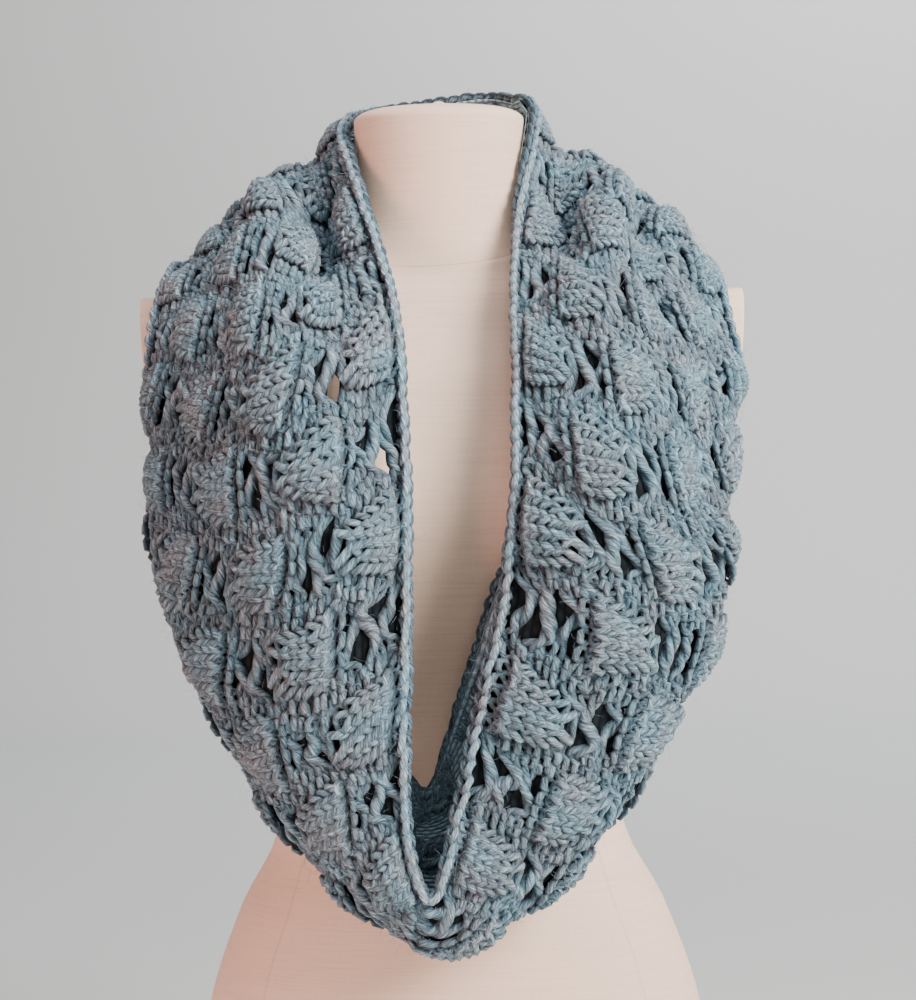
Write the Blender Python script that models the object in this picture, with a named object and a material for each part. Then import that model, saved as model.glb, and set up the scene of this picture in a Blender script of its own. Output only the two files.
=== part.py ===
"""Knitted cowl worn on a limbless dress form.

The cowl is one loop of thick lace knitting, worn long: it stands round the neck like a
shawl collar, spreads over the shoulders and the bust and hangs down the front, where the
loop turns back on itself in a soft hammock. Its two edges are chains of bound stitches.
The form is a linen-covered torso with a separate neck, a domed neck cap, two oval arm
caps and a flat base board that it stands on.

Axes: X to the right of someone facing the form, Y away from them, Z up.
The origin is the middle of the base board's underside. Sizes in the tables are millimetres.
"""
from collections import namedtuple

import bpy
import numpy as np

MM = 0.001

# ---- driving dimensions ------------------------------------------------------------

CLEARANCE = 0.3                 # between pieces that meet
FORM_TOP = 740.0                # height of the neck's upper rim
NECK_SEAM = 665.0               # height of the seam between body and neck, at the middle
BOARD_THICKNESS = 12.0
FORM_SIDES = 48                 # facets round the torso
FORM_RING_STEP = 16.0           # height between the torso's rings

SHOULDER_FROM = 605.0           # the rings are closer together above this height
SHOULDER_RING_STEP = 5.0
NECK_RING_STEP = 8.0
BOARD_SHARE = 0.985             # width of the board beside the torso's lowest section
SHARP_ANGLE = 0.7               # edges bent by more than this are shaded sharp, in radians

# The form's level sections. tilt raises the back of a section: height + tilt * depth.
FormSection = namedtuple("FormSection", "name height half_width front back squareness tilt")
FORM_SECTIONS = [FormSection(*row) for row in (
    ("board",      12, 158,  98, 112, 2.30, 0.00),
    ("hip",        90, 171, 110, 124, 2.30, 0.00),
    ("high_hip",  160, 161, 112, 112, 2.30, 0.00),
    ("abdomen",   226, 139, 104,  92, 2.25, 0.00),
    ("low_waist", 272, 115,  92,  79, 2.20, 0.00),
    ("waist",     312, 107,  87,  74, 2.20, 0.00),
    ("ribs",      385, 122, 103,  86, 2.25, 0.00),
    ("bust",      480, 150, 118, 101, 2.30, 0.00),
    ("chest",     560, 170, 100, 104, 2.40, 0.00),
    ("armhole",   605, 184,  74,  86, 2.40, 0.05),
    ("tip",       628, 182,  64,  72, 2.20, 0.12),
    ("shoulder",  641, 140,  58,  66, 2.10, 0.20),
    ("slope",     652, 101,  55,  58, 2.00, 0.28),
    ("neck_base", 665,  69,  54,  48, 2.00, 0.32),
    ("neck_low",  682,  59,  51,  45, 2.00, 0.26),
    ("neck_mid",  712,  56,  49,  43, 2.00, 0.14),
    ("neck_top",  742,  56,  49,  43, 2.00, 0.05),
)]
BUST_APART = 76.0               # from the middle to the fullest point
BUST_HEIGHT = 482.0
BUST_RISE = 26.0                # beyond the front of the plain section
BUST_WIDE = 54.0
BUST_HIGH = 62.0

NECK_CAP_RISE = 9.0             # of the dome above the neck's rim
NECK_CAP_PEAK = 4.0             # of the small gathered point on the dome
NECK_CAP_PEAK_RADIUS = 7.0
NECK_CAP_FLATNESS = 5           # power of the dome's spread: higher is flatter on top
NECK_CAP_SHOULDER = 0.55        # power that rounds the dome's shoulder at the rim
NECK_CAP_RINGS = (1.0, 0.985, 0.95, 0.88, 0.75, 0.58, 0.40, 0.25, 0.14, 0.07, 0.02)

ARM_CAP_CENTRE = (-4.0, 566.0)  # depth, height
ARM_CAP_HALF_DEPTH = 44.0
ARM_CAP_HALF_HEIGHT = 62.0
ARM_CAP_FACE = 190.5            # half the width over the two caps, at their middle
ARM_CAP_LEAN = 0.115            # the face moves out by this much of each step up
ARM_CAP_GAP = 1.8               # between the cap's hollow side and the torso
ARM_CAP_SIDES = 28
ARM_CAP_RIM = 2.5               # least thickness of the cap's rim
# The cap's rings from its hollow side round the rim to its face: share of the full
# size, whether the ring is on the face, and how far its rounded edge is set in.
ARM_CAP_RINGS = (
    (0.06, False, 0.0), (0.45, False, 0.0), (0.75, False, 0.0), (0.93, False, 0.0),
    (0.97, False, 1.0), (0.97, True, 1.0), (0.93, True, 0.0), (0.50, True, 0.0),
    (0.06, True, 0.0),
)

SETTLE_PROBE = 1.5              # step that finds which way the form's surface faces
SETTLE_FLATTEST = 0.25          # least slope of the form's distance that is trusted
SETTLE_STEP = 12.0              # longest move in one round
SETTLE_SHARE = 0.8              # share of the needed move made in one round

KNIT_THICKNESS = 8.0            # of the lace fabric
EDGE_WIDTH = 9.0                # of the chain along each edge
RIM_CHAMFER = 0.22              # share of the outermost facet that rounds a rim
EDGE_THICKNESS = 8.6
CLEAR_OF_FORM = 6.2             # from the form to the middle of the fabric
FOLD_ROUNDNESS = 75.0           # tangent length where the fabric turns back
LOOP_STEPS = 96                 # facets round the cowl
CROSS_STEPS = 16                # facets from edge to edge
DRAPE_LOOP = 192                # points round the loop that the drape is worked out on
DRAPE_ACROSS = 61               # points from the inner edge to the hem
STATION_POINTS = 1601           # points that the loop is measured with
EVEN_BY = (0.35, 0.35, 0.30)    # weights of edge, crown and turn in an even step
EASING_ROUNDS = 12              # of relax, once the fabric has settled

# The cowl's sections, round the loop from the nape down the left side and up the right.
# Each goes from the inner edge over the crown of the front layer to the outermost
# turn and on to the hem, which lies behind or against the form.
CowlSection = namedtuple("CowlSection", "name inner crown turn hem")
COWL_SECTIONS = [CowlSection(*row) for row in (
    ("nape",           (-2, 52, 755.5),   (-2, 86, 702),     (-2, 108, 618),    (-2, 122, 522)),
    ("left_nape",      (-44, 40, 752),    (-84, 66, 708),    (-124, 86, 652),   (-130, 104, 572)),
    ("left_neck",      (-62, 14, 742),    (-102, 30, 711),   (-145, 36, 675),   (-166, 50, 638)),
    ("left_shoulder",  (-57, -26, 714),   (-105, -12, 700),  (-150, -14, 660),  (-177, -6, 644)),
    ("left_collar",    (-40, -68, 660),   (-100, -80, 650),  (-160, -60, 626),  (-183, -56, 606)),
    ("left_chest",     (-25, -120, 598),  (-98, -140, 588),  (-171, -86, 574),  (-184, -60, 562)),
    ("left_bust",      (-20, -154, 505),  (-96, -172, 502),  (-182, -86, 500),  (-172, -36, 488)),
    ("left_ribs",      (-20, -164, 440),  (-96, -172, 432),  (-182, -100, 438), (-120, -116, 442)),
    ("left_waist",     (-22, -169, 372),  (-88, -166, 352),  (-146, -111, 370), (-56, -124, 376)),
    ("left_lap",       (-23, -172, 300),  (-58, -168, 281),  (-86, -134, 284),  (-30, -120, 330)),
    ("tip",            (-13, -174, 253),  (-10, -172, 236),  (-9, -146, 225),   (-13, -122, 312)),
    ("right_lap",      (-2, -172, 290),   (34, -168, 268),   (69, -136, 270),   (-2, -126, 342)),
    ("right_waist",    (14, -170, 362),   (76, -168, 342),   (134, -112, 354),  (14, -134, 394)),
    ("right_ribs",     (31, -170, 434),   (102, -180, 426),  (172, -104, 431),  (48, -148, 474)),
    ("right_bust",     (40, -164, 502),   (112, -180, 500),  (181, -92, 502),   (146, -74, 518)),
    ("right_chest",    (43, -130, 572),   (110, -146, 572),  (176, -86, 564),   (184, -56, 550)),
    ("right_collar",   (45, -72, 640),    (101, -86, 648),   (162, -60, 619),   (182, -56, 602)),
    ("right_shoulder", (52, -26, 704),    (102, -12, 701),   (148, -12, 671),   (176, -6, 641)),
    ("right_neck",     (57, -6, 741),     (97, 30, 717),     (143, 36, 688),    (166, 50, 639)),
    ("right_nape",     (45, 36, 760),     (80, 66, 712),     (122, 86, 658),    (130, 104, 574)),
)]

# Folds laid over those sections: along is the share of the way round the loop from the
# nape, across the share of the way from the inner edge to the hem, depth is outward.
CowlFold = namedtuple("CowlFold", "name along across half_length half_width depth")
COWL_FOLDS = [CowlFold(*row) for row in (
    ("left_hollow",      0.155, 0.21, 0.045, 0.10, -34),
    ("left_ridge",       0.150, 0.45, 0.060, 0.11,   6),
    ("left_chest_dip",   0.235, 0.62, 0.030, 0.10,  -5),
    ("left_waist_roll",  0.400, 0.30, 0.035, 0.12,   5),
    ("right_waist_roll", 0.590, 0.34, 0.035, 0.12,   5),
    ("right_chest_dip",  0.760, 0.66, 0.030, 0.10,  -5),
    ("right_crease",     0.835, 0.58, 0.060, 0.09, -18),
    ("right_ridge",      0.855, 0.40, 0.050, 0.10,   8),
    ("right_hollow",     0.855, 0.20, 0.040, 0.10, -24),
    ("nape_trough",      0.045, 0.62, 0.030, 0.16,   8),
    ("nape_ripple",      0.955, 0.58, 0.032, 0.18,   7),
)]

LINEN = (0.78, 0.68, 0.60)
BOARD_PLY = (0.62, 0.47, 0.31)
KNIT_BLUE = (0.22, 0.30, 0.36)
EDGE_BLUE = (0.26, 0.34, 0.40)


# ---- the form's shape ----------------------------------------------------------------

def blend_rows(places, values, at):
    """Cubic curve through the rows that never swings past them (harmonic mean slopes)."""
    at = np.clip(at, places[0], places[-1])
    row = np.clip(np.searchsorted(places, at, side="right") - 1, 0, len(places) - 2)
    gap = np.diff(places)
    slope = np.diff(values, axis=0) / gap[:, None]
    tangent = np.zeros_like(values)
    tangent[0], tangent[-1] = slope[0], slope[-1]
    product = slope[1:] * slope[:-1]
    total = np.where(product > 0, slope[1:] + slope[:-1], 1.0)
    tangent[1:-1] = np.where(product > 0, 2 * product / total, 0.0)
    t = ((at - places[row]) / gap[row])[..., None]
    wide = gap[row][..., None]
    return ((2 * t**3 - 3 * t**2 + 1) * values[row]
            + (t**3 - 2 * t**2 + t) * wide * tangent[row]
            + (3 * t**2 - 2 * t**3) * values[row + 1]
            + (t**3 - t**2) * wide * tangent[row + 1])


def form_section(height):
    """half width, front, back, squareness and tilt of the form at each height, in mm."""
    table = np.array([row[1:] for row in FORM_SECTIONS], float)
    return blend_rows(table[:, 0], table[:, 1:], np.asarray(height, float))


def bust_rise(x, height):
    """Two soft domes, side by side, added to the front of the section."""
    level = np.exp(-((height - BUST_HEIGHT) / BUST_HIGH) ** 2)
    left = np.exp(-((x + BUST_APART) / BUST_WIDE) ** 2)
    right = np.exp(-((x - BUST_APART) / BUST_WIDE) ** 2)
    return BUST_RISE * level * (left + right)


def form_ring(height, sides=FORM_SIDES):
    """Closed ring of points: a superellipse with its own depth in front and behind."""
    half, front, back, square, tilt = form_section(height)
    turn = np.arange(sides) * 2 * np.pi / sides
    across, along = np.cos(turn), np.sin(turn)
    x = half * np.sign(across) * np.abs(across) ** (2 / square)
    depth = np.where(along < 0, front + bust_rise(x, height), back)
    y = depth * np.sign(along) * np.abs(along) ** (2 / square)
    return np.stack([x, y, height + tilt * y], axis=1)


def form_distance(points):
    """About how far each point is outside the form, in mm, and negative inside it."""
    x, y, z = points[..., 0], points[..., 1], points[..., 2]
    height = z
    for _ in range(4):
        height = z - form_section(height)[..., 4] * y
    section = form_section(height)
    half, square = section[..., 0], section[..., 3]
    depth = np.where(y < 0, section[..., 1] + bust_rise(x, height), section[..., 2])
    reach = ((np.abs(x) / half) ** square + (np.abs(y) / depth) ** square) ** (1 / square)
    round_about = (reach - 1) * np.minimum(half, depth)
    return np.maximum(round_about, z - FORM_TOP - NECK_CAP_RISE)


def settle(points, gap, rounds):
    """Moves fabric that is nearer to the form than gap straight out from its surface."""
    points = points.copy()
    probes = SETTLE_PROBE * np.eye(3)
    for _ in range(rounds):
        level = form_distance(points)
        slope = np.stack([form_distance(points + probe) - form_distance(points - probe)
                          for probe in probes], axis=-1) / (2 * SETTLE_PROBE)
        steep = np.maximum(np.linalg.norm(slope, axis=-1), SETTLE_FLATTEST)
        push = np.clip(gap - level / steep, 0, SETTLE_STEP) * SETTLE_SHARE
        points += slope / steep[..., None] * push[..., None]
    return points


# ---- the cowl's shape ----------------------------------------------------------------

def loop_curve(rows, places):
    """Closed Catmull-Rom curve through the rows, read at places counted in rows."""
    first = np.floor(places).astype(int)
    t = (places - first)[:, None]
    a, b, c, d = (rows[(first + k) % len(rows)] for k in (-1, 0, 1, 2))
    return 0.5 * (2 * b + (c - a) * t + (2 * a - 5 * b + 4 * c - d) * t**2
                  + (3 * b - a - 3 * c + d) * t**3)


def section_curves(stations, steps=40):
    """Smooth line through inner edge, crown, turn and hem of every station."""
    inner, crown, turn, hem = (stations[:, k] for k in range(4))
    over = (turn - inner) / 2
    back = (hem - crown) / 2
    size = np.linalg.norm(back, axis=1, keepdims=True)
    back = back / size * np.maximum(size, FOLD_ROUNDNESS)
    start = (crown - inner) * 1.5 - over * 0.5
    end = (hem - turn) * 1.5 - back * 0.5
    t = np.linspace(0, 1, steps + 1)[:, None, None]
    parts = []
    for a, b, leave, arrive in ((inner, crown, start, over), (crown, turn, over, back),
                                (turn, hem, back, end)):
        part = ((2 * t**3 - 3 * t**2 + 1) * a + (t**3 - 2 * t**2 + t) * leave
                + (3 * t**2 - 2 * t**3) * b + (t**3 - t**2) * arrive)
        parts.append(part if not parts else part[1:])
    return np.concatenate(parts).transpose(1, 0, 2)


def read_between(lines, count):
    """count points along each line, evenly spaced from its start to its end."""
    step = np.linalg.norm(np.diff(lines, axis=1), axis=2)
    run = np.concatenate([np.zeros((len(lines), 1)), np.cumsum(step, axis=1)], axis=1)
    result = np.empty((len(lines), count, 3))
    for k, line in enumerate(lines):
        want = np.linspace(0, run[k, -1], count)
        for axis in range(3):
            result[k, :, axis] = np.interp(want, run[k], line[:, axis])
    return result


def outward(surface):
    """Unit normals of the fabric's right side, away from the form."""
    along = np.roll(surface, -1, axis=0) - np.roll(surface, 1, axis=0)
    across = np.gradient(surface, axis=1)
    normal = np.cross(across, along)
    return normal / np.linalg.norm(normal, axis=2, keepdims=True)


def relax(surface, rounds):
    """Evens the fabric out a little, with both edges held along their own lines."""
    for _ in range(rounds):
        eased = surface.copy()
        eased[:, 1:-1] = (2 * surface[:, 1:-1] + surface[:, 2:] + surface[:, :-2]) / 4
        eased = (2 * eased + np.roll(eased, 1, axis=0) + np.roll(eased, -1, axis=0)) / 4
        surface = (surface + eased) / 2
    return surface


def cowl_surface():
    """Middle of the fabric on a grid, (DRAPE_LOOP, DRAPE_ACROSS, 3): sections read at even
    steps round the loop, the folds laid over them, then settled clear of the form."""
    rows = np.array([row[1:] for row in COWL_SECTIONS], float).reshape(len(COWL_SECTIONS), 12)
    fine = np.linspace(0, len(rows), STATION_POINTS)
    stations = loop_curve(rows, fine).reshape(-1, 4, 3)
    lead = np.einsum("k,nkc->nc", EVEN_BY, stations[:, :3])
    run = np.concatenate([[0], np.cumsum(np.linalg.norm(np.diff(lead, axis=0), axis=1))])
    u = np.arange(DRAPE_LOOP)[:, None] / DRAPE_LOOP
    v = np.linspace(0, 1, DRAPE_ACROSS)[None, :]
    even = np.interp(u[:, 0] * run[-1], run, fine)
    surface = section_curves(loop_curve(rows, even).reshape(-1, 4, 3))
    surface = read_between(surface, DRAPE_ACROSS)
    normal = outward(surface)
    for fold in COWL_FOLDS:
        away = (u - fold.along + 0.5) % 1 - 0.5
        swell = np.exp(-(away / fold.half_length) ** 2 - ((v - fold.across) / fold.half_width) ** 2)
        surface = surface + normal * (fold.depth * swell)[..., None]
    surface = settle(surface, CLEAR_OF_FORM, 14)
    surface = relax(surface, EASING_ROUNDS)
    return settle(surface, CLEAR_OF_FORM, 6)


# ---- solids --------------------------------------------------------------------------

def material(name, colour, roughness):
    """A plain Principled material of one colour."""
    finish = bpy.data.materials.new(name)
    finish.use_nodes = True
    shader = finish.node_tree.nodes["Principled BSDF"]
    shader.inputs["Base Color"].default_value = (*colour, 1.0)
    shader.inputs["Roughness"].default_value = roughness
    shader.inputs["Metallic"].default_value = 0.0
    return finish


def add_solid(name, points, faces, finish):
    """One object from points in mm and faces that look outward."""
    mesh = bpy.data.meshes.new(name)
    mesh.from_pydata([tuple(point) for point in np.asarray(points) * MM], [], faces)
    mesh.update()
    mesh.shade_smooth()
    mesh.set_sharp_from_angle(angle=SHARP_ANGLE)
    mesh.materials.append(finish)
    solid = bpy.data.objects.new(name, mesh)
    bpy.context.scene.collection.objects.link(solid)
    return solid


def grid_faces(rows, columns, closed_rows, closed_columns, first=0):
    """Quads between the points of a grid stored row by row; a closed one wraps round."""
    faces = []
    for r in range(rows if closed_rows else rows - 1):
        for c in range(columns if closed_columns else columns - 1):
            r2, c2 = (r + 1) % rows, (c + 1) % columns
            faces.append((first + r * columns + c, first + r * columns + c2,
                          first + r2 * columns + c2, first + r2 * columns + c))
    return faces


def stack_of_rings(name, rings, finish):
    """Solid through level rings, bottom to top, closed by flat ends."""
    sides = len(rings[0])
    faces = grid_faces(len(rings), sides, False, True)
    faces.append(tuple(reversed(range(sides))))
    top = (len(rings) - 1) * sides
    faces.append(tuple(range(top, top + sides)))
    return add_solid(name, np.concatenate(rings), faces, finish)


def ring_heights(low, high, step):
    """Even heights from low to high, about a step apart."""
    return np.linspace(low, high, int(round((high - low) / step)) + 1)


def build_form_body(finish):
    """Torso from the base board to the slanting seam at the neck."""
    low = BOARD_THICKNESS + CLEARANCE
    trunk = ring_heights(low, SHOULDER_FROM - SHOULDER_RING_STEP, FORM_RING_STEP)
    shoulders = ring_heights(SHOULDER_FROM, NECK_SEAM - CLEARANCE / 2, SHOULDER_RING_STEP)
    rings = [form_ring(height) for height in np.concatenate([trunk, shoulders])]
    return stack_of_rings("form_body", rings, finish)


def build_form_neck(finish):
    """Neck from the seam to its rim."""
    low = NECK_SEAM + CLEARANCE / 2
    rings = [form_ring(height) for height in ring_heights(low, FORM_TOP, NECK_RING_STEP)]
    return stack_of_rings("form_neck", rings, finish)


def build_form_neck_cap(finish):
    """Shallow dome over the neck with a small gathered point at its middle: the height
    follows a rounded shoulder at the rim and a narrow bell at the centre."""
    rim = form_ring(FORM_TOP)
    centre = rim.mean(axis=0)
    rings = []
    for share in NECK_CAP_RINGS:
        ring = centre + (rim - centre) * share
        away = np.linalg.norm(ring[:, :2] - centre[:2], axis=1)
        bell = NECK_CAP_PEAK * np.exp(-(away / NECK_CAP_PEAK_RADIUS) ** 2)
        dome = NECK_CAP_RISE * (1 - share ** NECK_CAP_FLATNESS) ** NECK_CAP_SHOULDER
        ring[:, 2] += CLEARANCE + dome + bell
        rings.append(ring)
    return stack_of_rings("form_neck_cap", rings, finish)


def build_form_base_board(finish):
    """Flat board under the torso, a little smaller than its lowest ring."""
    outline = form_ring(BOARD_THICKNESS) * np.array([BOARD_SHARE, BOARD_SHARE, 0.0])
    upper = outline + np.array([0, 0, BOARD_THICKNESS])
    return stack_of_rings("form_base_board", [outline, upper], finish)


def torso_side(y, z):
    """Half width of the torso at each depth and height, by halving the range."""
    low, high = np.zeros_like(y), np.full_like(y, 200.0)
    for _ in range(30):
        middle = (low + high) / 2
        inside = form_distance(np.stack([middle, y, z], axis=-1)) < 0
        low, high = np.where(inside, middle, low), np.where(inside, high, middle)
    return low


def build_form_arm_cap(name, side, finish):
    """Oval cap that closes an armhole: a flat leaning face, a rounded rim and an inner face
    that follows the torso's side, a clearance away from it."""
    turn = np.arange(ARM_CAP_SIDES) * 2 * np.pi / ARM_CAP_SIDES * side
    depth0, height0 = ARM_CAP_CENTRE
    rings = []
    for share, outer, set_in in ARM_CAP_RINGS:
        y = depth0 + ARM_CAP_HALF_DEPTH * share * np.cos(turn)
        z = height0 + ARM_CAP_HALF_HEIGHT * share * np.sin(turn)
        face = ARM_CAP_FACE + ARM_CAP_LEAN * (z - height0)
        hollow = np.minimum(torso_side(y, z) + ARM_CAP_GAP, face - ARM_CAP_RIM)
        x = face - set_in if outer else hollow + set_in
        rings.append(np.stack([side * x, y, z], axis=1))
    return stack_of_rings(name, rings, finish)


def fabric_wall(name, surface, normal, thickness, finish):
    """Closed wall either side of a strip of the fabric's middle, all round the loop. Its two
    rims are chamfered, as knitted edges are round."""
    half = thickness / 2
    around, across = surface.shape[:2]
    inset = (surface[:, 1] - surface[:, 0]) * RIM_CHAMFER
    outset = (surface[:, -2] - surface[:, -1]) * RIM_CHAMFER
    right = surface + normal * half
    wrong = surface - normal * half
    right[:, 0] = surface[:, 0] + inset + normal[:, 0] * half
    wrong[:, 0] = surface[:, 0] + inset - normal[:, 0] * half
    right[:, -1] = surface[:, -1] + outset + normal[:, -1] * half
    wrong[:, -1] = surface[:, -1] + outset - normal[:, -1] * half
    loop = np.concatenate([surface[:, :1], right, surface[:, -1:], wrong[:, ::-1]], axis=1)
    faces = grid_faces(around, loop.shape[1], True, True)
    return add_solid(name, loop.reshape(-1, 3), faces, finish)


def strip_between(surface, first, last, count):
    """Points and outward normals of the fabric between two distances from its inner edge.
    A distance that is negative, or a last one of zero, is measured back from the hem."""
    normal = outward(surface)
    step = np.linalg.norm(np.diff(surface, axis=1), axis=2)
    run = np.concatenate([np.zeros((len(surface), 1)), np.cumsum(step, axis=1)], axis=1)
    points = np.empty((len(surface), count, 3))
    facing = np.empty((len(surface), count, 3))
    for k, width in enumerate(run[:, -1]):
        start = first if first >= 0 else width + first
        stop = last if last > 0 else width + last
        want = np.linspace(start, stop, count)
        for axis in range(3):
            points[k, :, axis] = np.interp(want, run[k], surface[k, :, axis])
            facing[k, :, axis] = np.interp(want, run[k], normal[k, :, axis])
    return points, facing / np.linalg.norm(facing, axis=2, keepdims=True)


def build_cowl(body_finish, edge_finish):
    """Lace body, with the bound inner chain and the cast-on hem chain along its edges."""
    surface = cowl_surface()[::DRAPE_LOOP // LOOP_STEPS]
    body_start = EDGE_WIDTH + CLEARANCE
    body = strip_between(surface, body_start, -body_start, CROSS_STEPS + 1)
    inner_edge = strip_between(surface, 0.0, EDGE_WIDTH, 2)
    hem_edge = strip_between(surface, -EDGE_WIDTH, 0.0, 2)
    fabric_wall("cowl_body", *body, KNIT_THICKNESS, body_finish)
    fabric_wall("cowl_inner_edge", *inner_edge, EDGE_THICKNESS, edge_finish)
    fabric_wall("cowl_hem_edge", *hem_edge, EDGE_THICKNESS, edge_finish)


def main():
    """Clears the file and builds the form's six pieces and the cowl's three."""
    for old in list(bpy.data.objects):
        bpy.data.objects.remove(old, do_unlink=True)
    build_form_body(material("linen body cover", LINEN, 0.85))
    build_form_neck(material("linen neck cover", LINEN, 0.85))
    build_form_neck_cap(material("linen neck cap", LINEN, 0.85))
    build_form_arm_cap("form_arm_cap_left", -1, material("linen left arm cap", LINEN, 0.85))
    build_form_arm_cap("form_arm_cap_right", 1, material("linen right arm cap", LINEN, 0.85))
    build_form_base_board(material("plain base board", BOARD_PLY, 0.6))
    build_cowl(material("lace knit", KNIT_BLUE, 0.95), material("chain edge", EDGE_BLUE, 0.95))


main()
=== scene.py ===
"""Knitted lace cowl on a limbless dress form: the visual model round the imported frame.

The cowl is laid out as a chart of strips and courses on the same draped surface that the
CAD solids have, and every course is one closed yarn. Lengths are millimetres unless a
name says otherwise; meshes are written in metres.
"""
from functools import cache

import bpy
import numpy as np
from bpy.props import FloatProperty, FloatVectorProperty, IntProperty, PointerProperty
from mathutils import Matrix, Vector


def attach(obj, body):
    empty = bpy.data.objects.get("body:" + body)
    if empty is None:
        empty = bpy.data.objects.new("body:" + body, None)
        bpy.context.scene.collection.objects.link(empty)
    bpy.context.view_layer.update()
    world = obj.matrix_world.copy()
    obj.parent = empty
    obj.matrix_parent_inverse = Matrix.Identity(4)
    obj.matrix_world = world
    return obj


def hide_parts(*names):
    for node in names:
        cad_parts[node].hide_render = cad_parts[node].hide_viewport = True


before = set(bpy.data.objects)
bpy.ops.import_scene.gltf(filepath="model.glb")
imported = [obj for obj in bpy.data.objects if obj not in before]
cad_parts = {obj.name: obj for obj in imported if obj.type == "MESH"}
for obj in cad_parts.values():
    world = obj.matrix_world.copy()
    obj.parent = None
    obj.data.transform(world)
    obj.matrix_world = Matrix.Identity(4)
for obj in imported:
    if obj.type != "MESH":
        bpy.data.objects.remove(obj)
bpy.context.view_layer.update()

bl_info = {
    "name": "Lace cowl on a dress form",
    "version": (1, 0, 0),
    "blender": (4, 5, 0),
    "location": "View3D > Sidebar > Cowl",
    "description": "Builds a knitted lace cowl, yarn by yarn, over a linen dress form",
    "category": "Object",
}

MM = 0.001
TURN = 2 * np.pi
SEED = 1107

# ---- the dress form, as in the part's source ----

FORM_TOP, NECK_SEAM, BOARD_THICKNESS, SEAM_GAP = 740.0, 665.0, 12.0, 0.3
# Height; half width, depth in front and depth behind; squareness of the oval; lean back.
FORM_SECTIONS = {
    "board": (12, 158, 98, 112, 2.30, 0.00),
    "hip": (90, 171, 110, 124, 2.30, 0.00),
    "high_hip": (160, 161, 112, 112, 2.30, 0.00),
    "abdomen": (226, 139, 104, 92, 2.25, 0.00),
    "low_waist": (272, 115, 92, 79, 2.20, 0.00),
    "waist": (312, 107, 87, 74, 2.20, 0.00),
    "ribs": (385, 122, 103, 86, 2.25, 0.00),
    "bust": (480, 150, 118, 101, 2.30, 0.00),
    "chest": (560, 170, 100, 104, 2.40, 0.00),
    "armhole": (605, 184, 74, 86, 2.40, 0.05),
    "tip": (628, 182, 64, 72, 2.20, 0.12),
    "shoulder": (641, 140, 58, 66, 2.10, 0.20),
    "slope": (652, 101, 55, 58, 2.00, 0.28),
    "neck_base": (665, 69, 54, 48, 2.00, 0.32),
    "neck_low": (682, 59, 51, 45, 2.00, 0.26),
    "neck_mid": (712, 56, 49, 43, 2.00, 0.14),
    "neck_top": (742, 56, 49, 43, 2.00, 0.05),
}
# Domes of the bust: distance from the middle, height, rise, reach across and up.
BUST_APART, BUST_HEIGHT, BUST_RISE, BUST_WIDE, BUST_HIGH = 76.0, 482.0, 26.0, 54.0, 62.0
NECK_CAP_RISE, NECK_CAP_PEAK, NECK_CAP_PEAK_RADIUS = 9.0, 4.0, 7.0
NECK_CAP_FLATNESS, NECK_CAP_SHOULDER = 5, 0.55      # powers of its dome
ARM_CAP_CENTRE, ARM_CAP_HALF = (-4.0, 566.0), (44.0, 62.0)          # depth and height
# Its face from the form's middle, the slope of the face, gap to the torso, thinnest rim.
ARM_CAP_FACE, ARM_CAP_LEAN, ARM_CAP_GAP, ARM_CAP_RIM = 190.5, 0.115, 1.8, 2.5
LEAN_ROUNDS = 4                 # to find the height of the leaning section through a point
# Fabric near the form: probe for the slope, flattest slope, longest step, share of it taken.
SETTLE_PROBE, SETTLE_FLATTEST, SETTLE_STEP, SETTLE_SHARE = 1.5, 0.25, 12.0, 0.8

# The scene's own: how the covers are divided, and the neck seam's dip at the front.
TORSO_HEIGHTS = np.concatenate([np.linspace(BOARD_THICKNESS + SEAM_GAP, 590, 52),
                                np.linspace(594, NECK_SEAM - SEAM_GAP / 2, 26)])
NECK_HEIGHTS = np.linspace(NECK_SEAM + SEAM_GAP / 2, FORM_TOP, 20)
CAP_SHARES = np.concatenate([1 - np.linspace(0, 1, 9)[:-1] ** 2 * 0.2, np.linspace(0.8, 0.02, 22)])
END_SHARES = (0.96, 0.6, 0.25, 0.02)    # rings that close the end of a cover
SHARP_ANGLE = 0.9               # radians between faces, at a cover's rim
ARM_CAP_SIDES = 96
# Share of the oval, on the face or the hollow side, and how far set in from that side.
ARM_CAP_PROFILE = (
    (0.06, 0, 0), (0.3, 0, 0), (0.6, 0, 0), (0.85, 0, 0), (0.94, 0, 0), (0.968, 0, 0.5),
    (0.975, 0, 1.0), (0.975, 1, 1.2), (0.970, 1, 0.6), (0.958, 1, 0.2), (0.94, 1, 0),
    (0.8, 1, 0), (0.5, 1, 0), (0.2, 1, 0), (0.06, 1, 0))
SIDE_LIMIT, SIDE_ROUNDS = 200.0, 30     # wider than the torso; halvings to find its side
SEAM_DIP, SEAM_DIP_REACH = 10.0, 28.0   # how far the seam sinks, and how far up and down
SEAM_DIP_TURN, SEAM_DIP_POWER = 0.35, 1.5       # it is lowest a little to the left
# Long panel seams: share of 0.70 m up the form, share of 0.20 m out from its middle.
PANEL_SEAM_SCALE = (0.70, 0.20)
PANEL_SEAM = ((0.0, 0.70), (0.25, 0.60), (0.36, 0.485), (0.445, 0.42), (0.55, 0.44),
              (0.69, 0.47), (0.80, 0.50), (0.93, 0.56), (1.0, 0.60))
PANEL_SEAM_WIDTH = 0.0011       # metres

# ---- the draped surface, as in the part's source ----

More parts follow.
